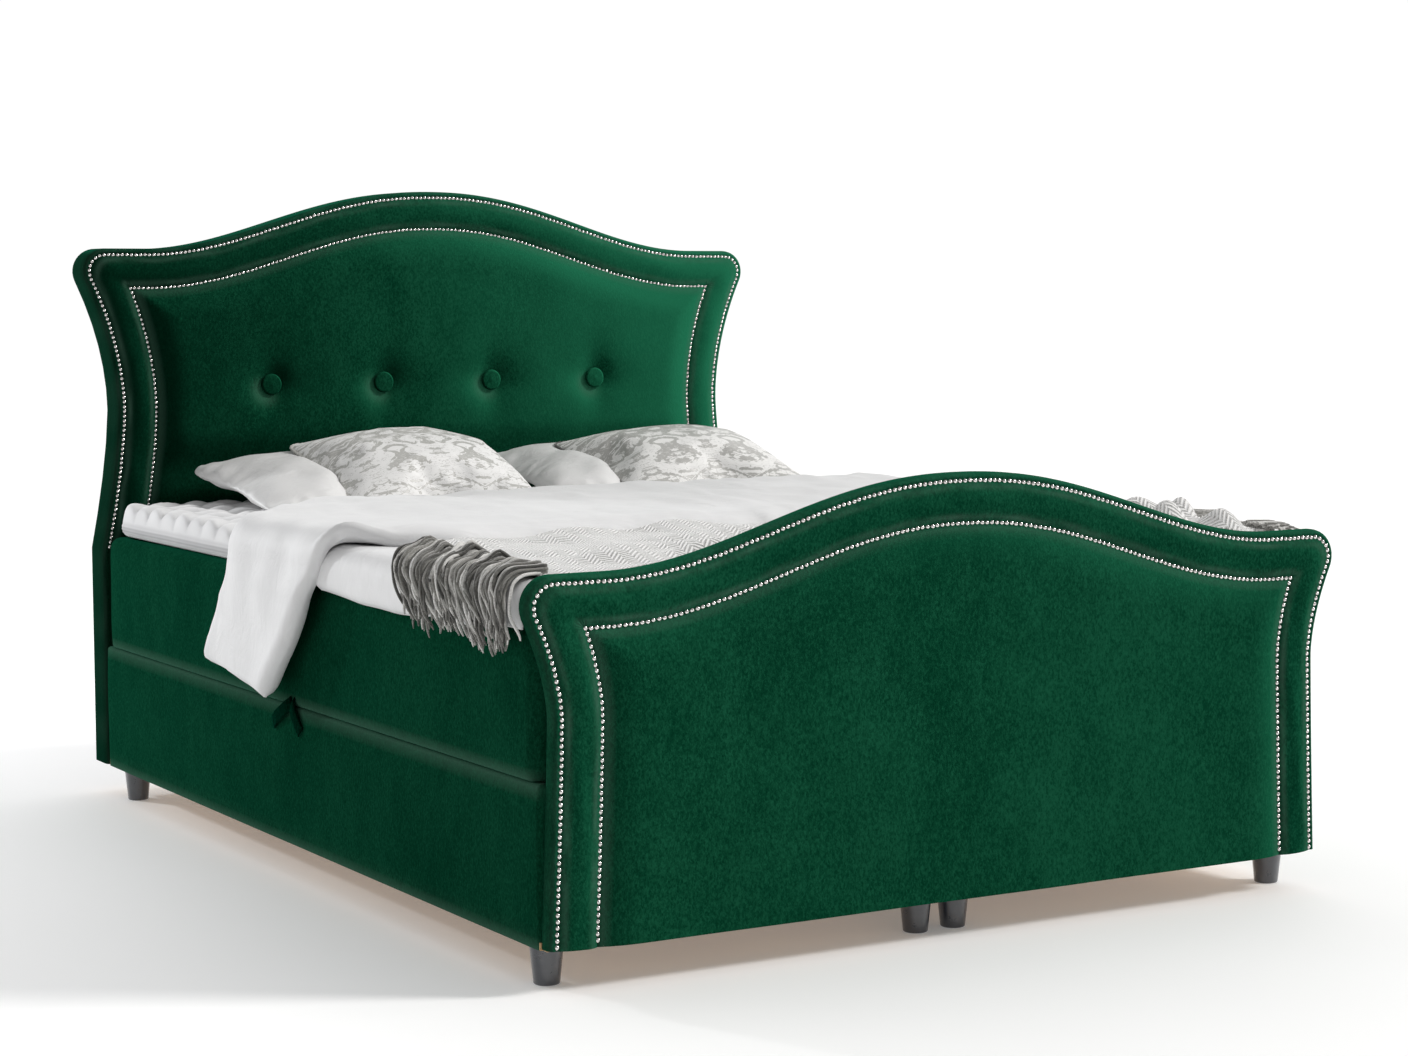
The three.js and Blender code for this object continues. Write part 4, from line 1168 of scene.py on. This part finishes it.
def add_duvet_fold(side_name, side):
    """The duvet's head end, folded back over itself. On the left it also hangs down the side as a
    long flap that narrows at the bed's edge and swings back towards the head."""
    rows, columns = 120, 96
    full = FOLD_WIDTH[side_name]
    across = np.linspace(0, 1, rows)[:, None] * full
    hem = curve_through(across, HEM_KEYS[side_name], FOLD_Y0)
    head = curve_through(across, HEAD_KEYS[side_name], FOLD_Y1)
    v = np.linspace(0, 1, columns)[None, :]
    share = np.clip(v / TURN_FROM, 0, 1)
    around = np.clip((v - TURN_FROM) / (1 - TURN_FROM), 0, 1) * math.pi * 0.93
    y = hem + (head - TURN_R - hem) * share + TURN_R * np.sin(around)
    across = np.broadcast_to(across, y.shape)
    x, z, drop = over_edge(across, FOLD_EDGE, FOLD_BEND, TOPPER_TOP + 0.036 + FOLD_THICK / 2)
    down = smoothstep(across, FOLD_FLAT - 0.02, FOLD_CORNER)
    under = TURN_R * (1 - np.cos(around))
    swell = ripples(across * side, y, 0.30, 61) * 0.0055 + ripples(across * side, y, 0.10, 62, 0.4) * 0.0024
    swell = swell + np.maximum(ripples(across * side, y, 0.055, 63, 0.25), 0.25) * 0.0022
    gather = np.sin(share * math.pi * 5 + 1.3 * np.sin(across * 14)) * 0.0052
    gather = gather * hump(across, FOLD_CORNER, 0.12)
    press = (1 - smoothstep(share, 0.0, 0.10)) * 0.012
    z = z + (swell + gather - press - under) * (1 - down)
    x = x + (swell * 0.8 + gather * 0.6 - under * 0.75) * down
    if side < 0:
        x, z = hang_flap(x, z, across, share, drop)
    fatter = FOLD_THICK * (1 + 0.45 * smoothstep(drop, 0.0, 0.12))
    end_round = 0.035 + 0.035 * smoothstep(drop, 0, 0.1)
    thickness = pinched(across / full, v * 0.98, fatter, 0.022, end_round)
    made = slab(f"{side_name}_duvet_fold", side, np.stack([x * side, y, z], -1), thickness, COTTON)
    place_bedding(made, side_name, side, "white_cotton", f"{side_name}_duvet")


def hang_flap(x, z, across, share, drop):
    """The flap's own shape: it leans in below the edge, its hem stands off and curls up at the
    corner, and its lower tip slants."""
    x = x - 0.016 * smoothstep(drop, 0.03, 0.16)
    x = x + 0.030 * (1 - share) ** 1.6 * smoothstep(drop, 0.0, 0.14)
    curl = smoothstep(0.10 - share, 0, 0.10) * hump(across, FOLD_FLAT + 0.01, 0.05)
    tip = smoothstep(drop, FLAP_DROP - 0.10, FLAP_DROP)
    return x, z + 0.028 * curl - (1 - share) * tip * 0.022 + share * tip * 0.004


THROW_THICK, THROW_HALF = 0.005, 0.775
# How far the throw's head end lies past FOLD_Y0, from the left (-) to the right of the bed.
THROW_KEYS = ((-0.775, -0.215), (-0.60, 0.010), (-0.35, 0.040), (0.0, 0.060), (0.43, 0.095), (0.80, 0.130))
THROW_END = {"left": (0.05, 0.003), "right": (0.12, 0.012)}     # where its end sinks, and how far


def add_throw(side_name, side):
    """One half of the woven throw across the foot of the bed: a few soft rumples, a fold, and a
    heap at its right end."""
    rows, columns = 150, 150
    signed = np.linspace(0, THROW_HALF, rows)[:, None] * side
    v = np.linspace(0, 1, columns)[None, :]
    head = curve_through(signed, THROW_KEYS, FOLD_Y0)
    y = THROW_Y0 + (head - THROW_Y0) * v + 0.006 * np.sin(signed * 23) * smoothstep(v, 0.9, 1.0)
    rumple = np.maximum(ripples(signed, y, 0.20, 71, 1.4), -0.25) + 0.25
    fold = hump(y, THROW_Y0 + 0.20 + 0.12 * signed, 0.020)
    fold = fold * smoothstep(signed, -0.62, -0.25) * (1 - smoothstep(signed, 0.30, 0.62))
    heap = np.maximum(ripples(signed, y, 0.13, 73, 0.8) + 0.35, 0)
    heap = heap * smoothstep(signed, 0.36, 0.66) * (1 - 0.7 * smoothstep(signed, 0.68, 0.80))
    heap = heap * smoothstep(v, 0.0, 0.16)
    end_width, end_sink = THROW_END[side_name]
    sink = smoothstep(signed * side, THROW_HALF - end_width, THROW_HALF) * end_sink
    rest = TOPPER_TOP + 0.002 + DUVET_THICK + THROW_THICK / 2 + 0.0025
    z = rest + rumple * 0.010 + fold * 0.020 + heap * 0.038 - sink
    x = np.broadcast_to(signed, y.shape)
    middle = np.stack([x, y, z], -1)
    made = slab(f"{side_name}_woven_throw", side, middle, np.full(y.shape, THROW_THICK), THROW,
                np.stack([x, y], -1), open_start=False)
    place_bedding(made, side_name, side, "throw_weave", f"{side_name}_throw")
    fringe = add_fringe(side_name, side, middle[-1])


FRINGE_LOCKS, FRINGE_STRANDS = 8, 26
FRINGE_EDGE, FRINGE_BEND = 0.838, 0.040     # the bed's side below it, and the bend's radius
# darkest is each end's lowest strand tone: the right end's strands are kept lighter, painted light where
# they lie on the sunlit heaped end.
FRINGE = {
    "left": dict(seed=81, shortest=0.168, longest=0.190, darkest=0.0, thick=1.0),
    "right": dict(seed=82, shortest=0.040, longest=0.060, darkest=0.6, thick=0.7),
}


def add_fringe(side_name, side, hem):
    """Yarn strands along the throw's end, in locks that arch up at a knot, fall over the bed's
    side together and draw in to a tuft. On the right they are short and stay on the heaped end."""
    kind = FRINGE[side_name]
    rng = np.random.default_rng(kind["seed"])
    hem = hem[np.argsort(hem[:, 1])]
    low, high = hem[0, 1] + 0.008, hem[-1, 1] - 0.008
    pitch = (high - low) / FRINGE_LOCKS
    t = np.linspace(0, 1, 26)
    grow = smoothstep(t, 0.05, 0.6)
    # Each strand is darker at its root, painted shade where it leaves the hem, and a little darker at its
    # tip.
    painted_root_shade = np.interp(t, [0, 0.1, 0.5, 1], [0.8, 1, 1, 0.9])
    taper = np.interp(t, [0, 0.04, 0.10, 0.94, 1], [1.3, 1.5, 1.0, 0.95, 0.45]) * kind["thick"]
    points, faces, tones = [], [], []
    for lock in range(FRINGE_LOCKS):
        middle = low + pitch * (lock + 0.5)
        lean = rng.normal(-0.045, 0.025)
        bow = rng.uniform(0.000, 0.026)
        arch = rng.uniform(0.012, 0.022) * smoothstep(middle - low, 0.03, 0.12) if side < 0 else 0.002
        lock_phase = rng.uniform(0, 2 * math.pi)
        lock_length = rng.uniform(kind["shortest"], kind["longest"])
        for _ in range(FRINGE_STRANDS):
            offset = rng.uniform(-0.5, 0.5) * pitch
            y = middle + offset
            x0 = np.interp(y, hem[:, 1], np.abs(hem[:, 0]))
            z0 = np.interp(y, hem[:, 1], hem[:, 2])
            lift = rng.uniform(0, 0.013)
            phase = lock_phase + rng.normal(0, 0.7)
            curl = 2 * math.pi * rng.uniform(0.9, 1.6) * t
            width = rng.uniform(0.003, 0.0075)
            length = lock_length * rng.uniform(0.86, 1.06)
            x, z, _ = over_edge(x0 - 0.014 + length * t, FRINGE_EDGE + lift, FRINGE_BEND, z0 + 0.003 + lift)
            x = x + 0.0035 * np.sin(curl * 1.7 + phase) * grow
            y = y + (lean + rng.normal(0, 0.010)) * t + width * np.sin(curl + phase) * grow
            y = y + bow * np.sin(math.pi * t) - offset * 0.35 * smoothstep(t, 0.35, 1.0)
            z = z + arch * (1 - (2 * offset / pitch) ** 2) * hump(t, 0.13, 0.09)
            tones.append(np.repeat(rng.uniform(kind["darkest"], 1.0) * painted_root_shade, RING))
            radii = rng.uniform(0.0022, 0.0031) * taper
            add_tube(points, faces, np.stack([x * side, y, z], 1), radii)
    made = make_object(f"{side_name}_throw_fringe", np.vstack(points), faces, YARN)
    set_attribute(made, "tone", np.concatenate(tones))
    return place_piece(made, f"{side_name}_lid", "throw_weave")


def add_tube(points, faces, line, radii):
    """Adds a closed thin tube along a line to a list of points and faces."""
    side, up = square_to(np.gradient(line, axis=0), (0.31, 0.62, 0.72))
    start = sum(len(p) for p in points)
    points.append(rings_round(line, side, up, radii))
    faces += grid_faces(len(line), RING, start, closed=True, flip=True)
    last = start + (len(line) - 1) * RING
    faces.append(tuple(start + i for i in range(RING)))
    faces.append(tuple(last + RING - 1 - i for i in range(RING)))


# ---------- pillows and cushions ----------
CREASE_LENGTH = 0.052               # from one seam pucker of a pillow to the next


def cushion_blank(name, width, length, columns, rows, material):
    """A flat case, 8 mm thick, with slightly rounded corners, ready to be blown up. Returns it
    and the numbers of the points round its seam."""
    corner, half_thick = 0.016, 0.004
    u, v = np.meshgrid(np.linspace(-1, 1, columns), np.linspace(-1, 1, rows))
    pull = corner * (np.abs(u) ** 8 * np.abs(v) ** 8)
    x, y = u * (width / 2 - pull), v * (length / 2 - pull)
    edge = (np.abs(u) == 1) | (np.abs(v) == 1)
    inner = ~edge.ravel()
    top = np.stack([x, y, np.where(edge, 0.0, half_thick)], -1).reshape(-1, 3)
    bottom = top[inner] * (1, 1, -1)
    number = np.arange(rows * columns)
    number[inner] = rows * columns + np.arange(inner.sum())
    faces = grid_faces(rows, columns)
    faces += [tuple(number[k] for k in face[::-1]) for face in faces]
    points = np.vstack([top, bottom])
    made = make_object(name, points, faces, material)
    set_uv(made, points[:, :2])
    seam = list(range(columns)) + [i * columns + columns - 1 for i in range(1, rows)]
    seam += [(rows - 1) * columns + j for j in range(columns - 2, -1, -1)]
    seam += [i * columns for i in range(rows - 2, 0, -1)]
    return made, seam


def blow_up(made, pressure, thickest, square):
    before = mesh_points(made)
    cloth = made.modifiers.new("Cloth", "CLOTH")
    settings = cloth.settings
    settings.quality = 6
    settings.mass = 0.12
    settings.tension_stiffness = settings.compression_stiffness = 18
    settings.shear_stiffness = 8
    settings.bending_stiffness = 0.4
    settings.use_pressure = True
    settings.uniform_pressure_force = pressure
    settings.effector_weights.gravity = 0
    frames = 22
    cloth.point_cache.frame_start, cloth.point_cache.frame_end = 1, frames
    scene = bpy.context.scene
    for step in range(1, frames + 1):
        scene.frame_set(step)
    shown = made.evaluated_get(bpy.context.evaluated_depsgraph_get())
    after = np.zeros(len(before) * 3)
    shown.data.vertices.foreach_get("co", after)
    after = after.reshape(-1, 3)
    made.modifiers.clear()
    scene.frame_set(1)
    after[:, 2] *= min(1.0, thickest / np.abs(after[:, 2]).max())
    after[:, :2] = after[:, :2] * (1 - square) + before[:, :2] * 0.955 * square
    set_points(made, after)


def settle(made, above, below):
    """A pillow's own weight: its upper side stands out by one share and its lower side by another."""
    points = mesh_points(made)
    points[:, 2] *= np.where(points[:, 2] > 0, above, below)
    set_points(made, points)


def plump(made, seed):
    """Fills a pillow out towards its seams, with soft creases and puckers along them."""
    points = mesh_points(made)
    x, y, z = points.T
    half_x, half_y, high = np.abs(points).max(0)
    gap_x, gap_y = half_x - np.abs(x), half_y - np.abs(y)
    to_seam = np.minimum(gap_x, gap_y)
    along = np.where(gap_x < gap_y, y, x)
    pucker = np.sin(2 * math.pi * along / CREASE_LENGTH + 2 * np.sin(along * 27))
    uneven = pucker * hump(to_seam, 0.025, 0.022) * 0.0030 + ripples(x, y, 0.14, seed) * 0.0042
    full = high * (np.abs(z) / high) ** 0.72
    points[:, 2] = np.sign(z) * (full + uneven * smoothstep(to_seam, 0.0, 0.02))
    set_points(made, points)


def lay(made, place):
    """Turns a flat pillow onto its place: tilt, in degrees, lifts its head side, and turn is seen
    from above."""
    matrix = Matrix.Translation(place["centre"]) @ Matrix.Rotation(place["turn"], 4, "Z")
    matrix = matrix @ Matrix.Rotation(math.radians(place["tilt"]), 4, "X")
    made.data.transform(matrix)
    return matrix


def rest_on(points, floor_z):
    """Flattens what would sink below the surface that a pillow lies on."""
    softness = 0.012
    z = points[:, 2]
    depth = floor_z - z
    squeezed = floor_z + softness * 0.25 * np.exp(-np.clip(depth, 0, None) / softness)
    near = (depth <= 0) & (depth > -softness)
    lifted = points.copy()
    lifted[:, 2] = np.where(depth > 0, squeezed, z)
    lifted[near, 2] = np.maximum(z, floor_z + softness * 0.25)[near]
    return lifted


def bedding_z(points):
    """The top of the bedding below the cushions: the topper, and the duvet's folded edge."""
    on_duvet = smoothstep(FOLD_Y1 - points[:, 1], -0.012, 0.012)
    return TOPPER_TOP + 0.006 + on_duvet * 0.068


def clear_of_middle(points, side, limit):
    """Keeps a pillow on its own side of a limit near the bed's middle."""
    soft = 0.03
    inward = points[:, 0] * side - limit - soft
    moved = points.copy()
    moved[:, 0] = (limit + soft + np.where(inward < 0, soft * (np.exp(inward / soft) - 1), inward)) * side
    return moved


PIPING_R, PIPING_TWIST, PIPING_STEP = 0.0036, 0.016, 0.005


def add_piping(name, seam, material, body):
    """A twisted two-strand cord round a cushion's seam."""
    line = resample(np.vstack([seam, seam[:1]]), PIPING_STEP)[:-1]
    count = len(line)
    side, up = square_to(np.roll(line, -1, 0) - np.roll(line, 1, 0), (0.05, 0.1, 1.0))
    points, faces = [], []
    for strand in (0, math.pi):
        turn = (np.arange(count) * PIPING_STEP * 2 * math.pi / PIPING_TWIST + strand)[:, None]
        centre = line + PIPING_R * 0.5 * (side * np.cos(turn) + up * np.sin(turn))
        start, size = len(points) * count * RING, count * RING
        points.append(rings_round(centre, side, up, np.full(count, PIPING_R * 0.62)))
        tube = grid_faces(count + 1, RING, closed=True, flip=True)
        faces += [tuple(start + k % size for k in face) for face in tube]
    made = make_object(name, np.vstack(points), faces, material)
    place_piece(made, body, "damask")


CUSHIONS = {
    "left": dict(size=(0.500, 0.440), centre=(-0.205, 0.665, 0.712), tilt=17, turn=0.03),
    "right": dict(size=(0.545, 0.440), centre=(0.482, 0.690, 0.704), tilt=15, turn=0.05),
}
PILLOWS = {
    "left": dict(size=(0.620, 0.530), centre=(-0.325, 0.735, 0.682), tilt=7.5, turn=0.02),
    "right": dict(size=(0.600, 0.500), centre=(0.365, 0.755, 0.684), tilt=7.5, turn=-0.02),
}
MIDDLE_LIMIT = {"left": -0.010, "right": 0.070}
PIPING_YARN = {"left": DAMASK["left"], "right": YARN}
CUSHION_THICK, PILLOW_THICK = 0.062, 0.064      # half of each when blown up


def add_cushion(side_name, side):
    """A damask cushion with a corded seam, leaning on the pillow. Returns it and where it lies."""
    place = CUSHIONS[side_name]
    made, seam = cushion_blank(f"{side_name}_damask_cushion", *place["size"], 46, 40, DAMASK[side_name])
    blow_up(made, 4.0, CUSHION_THICK, square=0.45)
    settle(made, 1.28, 0.42)
    matrix = lay(made, place)
    points = mesh_points(made)
    points = clear_of_middle(rest_on(points, bedding_z(points)), side, MIDDLE_LIMIT[side_name])
    set_points(made, points)
    finish_pillow(made, side_name, "damask", f"{side_name}_cushion")
    add_piping(f"{side_name}_cushion_piping", points[seam], PIPING_YARN[side_name], f"{side_name}_lid")
    return made, matrix


def add_pillow(side_name, side, cushion, cushion_matrix):
    """A soft white pillow by the headboard, pressed down where the cushion leans on it."""
    place = PILLOWS[side_name]
    made, _ = cushion_blank(f"{side_name}_white_pillow", *place["size"], 56, 44, PILLOW_SATIN)
    blow_up(made, 3.6, PILLOW_THICK, square=0.85)
    plump(made, 101)
    settle(made, 1.12, 0.70)
    lay(made, place)
    points = rest_on(mesh_points(made), TOPPER_TOP + 0.012)
    points = clear_of_middle(points, side, MIDDLE_LIMIT[side_name])
    points = under_cushion(made, points, cushion, cushion_matrix)
    points[:, 1] = np.minimum(points[:, 1], HEAD_FACE - 0.045)
    set_points(made, points)
    finish_pillow(made, side_name, "white_cotton", f"{side_name}_pillow")


def finish_pillow(made, side_name, slot, node):
    """One subdivision, applied, and the piece's place in the frame."""
    modifier = made.modifiers.new("smooth", "SUBSURF")
    modifier.levels = modifier.render_levels = 1
    shown = made.evaluated_get(bpy.context.evaluated_depsgraph_get())
    final = bpy.data.meshes.new_from_object(shown)
    made.modifiers.clear()
    made.data = final
    place_piece(made, f"{side_name}_lid", slot, node)


def under_cushion(pillow, points, cushion, matrix):
    """Presses the pillow down to just below the cushion that leans on it."""
    up = (matrix.to_3x3() @ Vector((0, 0, 1))).normalized()
    reach, gap = 0.3, 0.003
    tree = BVHTree.FromPolygons([v.co for v in cushion.data.vertices],
                                [tuple(p.vertices) for p in cushion.data.polygons])
    moved = points.copy()
    for k, point in enumerate(points):
        hit = tree.ray_cast(Vector(point) - up * reach, up, reach)[0]
        if hit is not None:
            moved[k] = hit - up * gap
    moved[:, 2] = np.maximum(moved[:, 2], TOPPER_TOP + 0.005)
    return spread(pillow, points, moved)


def spread(made, before, after):
    """Lets a dent run out softly: points that were left alone follow their dented neighbours."""
    edges = np.zeros(len(made.data.edges) * 2, int)
    made.data.edges.foreach_get("vertices", edges)
    a, b = edges.reshape(-1, 2).T
    shift = after - before
    held = (np.linalg.norm(shift, axis=1) > 1e-6)[:, None]
    count = np.bincount(np.concatenate([a, b]), minlength=len(before))[:, None]
    soft = shift.copy()
    for _ in range(14):
        total = np.zeros_like(soft)
        np.add.at(total, a, soft[b])
        np.add.at(total, b, soft[a])
        soft = np.where(held, shift, 0.92 * total / count)
    soft[:, :2] *= held
    return before + soft


# ---------- legs and hardware ----------
LEG_TAPER, LEG_ROUND = 0.772, 0.0035


def add_leg(node):
    """A tapered round leg with a small rounded edge at its foot."""
    low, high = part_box(node)
    top_r, height = (high.x - low.x) / 2, high.z - low.z
    foot_r = top_r * LEG_TAPER
    flat_r = foot_r - LEG_ROUND
    profile = [(0, 0), (flat_r, 0.0)]
    profile += [(flat_r + LEG_ROUND * math.sin(a), LEG_ROUND * (1 - math.cos(a)))
                for a in np.linspace(0.3, math.pi / 2, 5)]
    profile += [(foot_r + (top_r - foot_r) * u, LEG_ROUND + (height - 0.006) * u)
                for u in np.linspace(0.1, 1, 8)]
    profile += [(top_r - 0.001, height - 0.0006), (0, height - 0.0002)]
    made = lathe(f"{node}_moulded", profile, PLASTIC)
    made.data.transform(Matrix.Translation(((low.x + high.x) / 2, (low.y + high.y) / 2, low.z)))
    place_piece(made, "base", "leg_plastic", node)


# The CAD pieces that show as they are, by the end of their names: material and edge rounding.
FINISHES = {
    "hinge_plate": (ZINC, 0.0006), "hinge_post": (ZINC, 0.0006), "strut_rod": (ZINC, 0),
    "strut_cylinder": (BLACK_STEEL, 0), "lid_board": (TIMBER, 0.0008), "box_floor": (TIMBER, 0.005),
    "core": (TIMBER, 0), "rear_frame": (TIMBER, 0), "back_cover": (BACK_CLOTH, 0),
    "spring_unit": (SPRING_CLOTH, 0),
}


def finish_hardware():
    """Materials and softened edges for the CAD pieces that show as they are."""
    for name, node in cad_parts.items():
        for ending, (material, width) in FINISHES.items():
            if not name.endswith(ending):
                continue
            node.data.materials.clear()
            node.data.materials.append(material)
            if width:
                bevel = node.modifiers.new("edges", "BEVEL")
                bevel.width, bevel.segments = width, 2
                bevel.limit_method, bevel.angle_limit = "ANGLE", math.radians(40)


add_camera()
add_studio()
add_headboard()
add_footboard()
for side_index, (side_name, side) in enumerate(SIDES):
    add_storage_box(side_name, side, 91 + side_index)
    add_lid(side_name, side, 95 + side_index)
    add_pull_strap(side_name, side)
    add_topper(side_name, side)
    add_duvet_lower(side_name, side)
    add_duvet_fold(side_name, side)
    add_throw(side_name, side)
    add_pillow(side_name, side, *add_cushion(side_name, side))
for side_name, end, column in itertools.product(("left", "right"), ("foot", "head"), ("outer", "middle")):
    add_leg(f"leg_{side_name}_{end}_{column}")
finish_hardware()
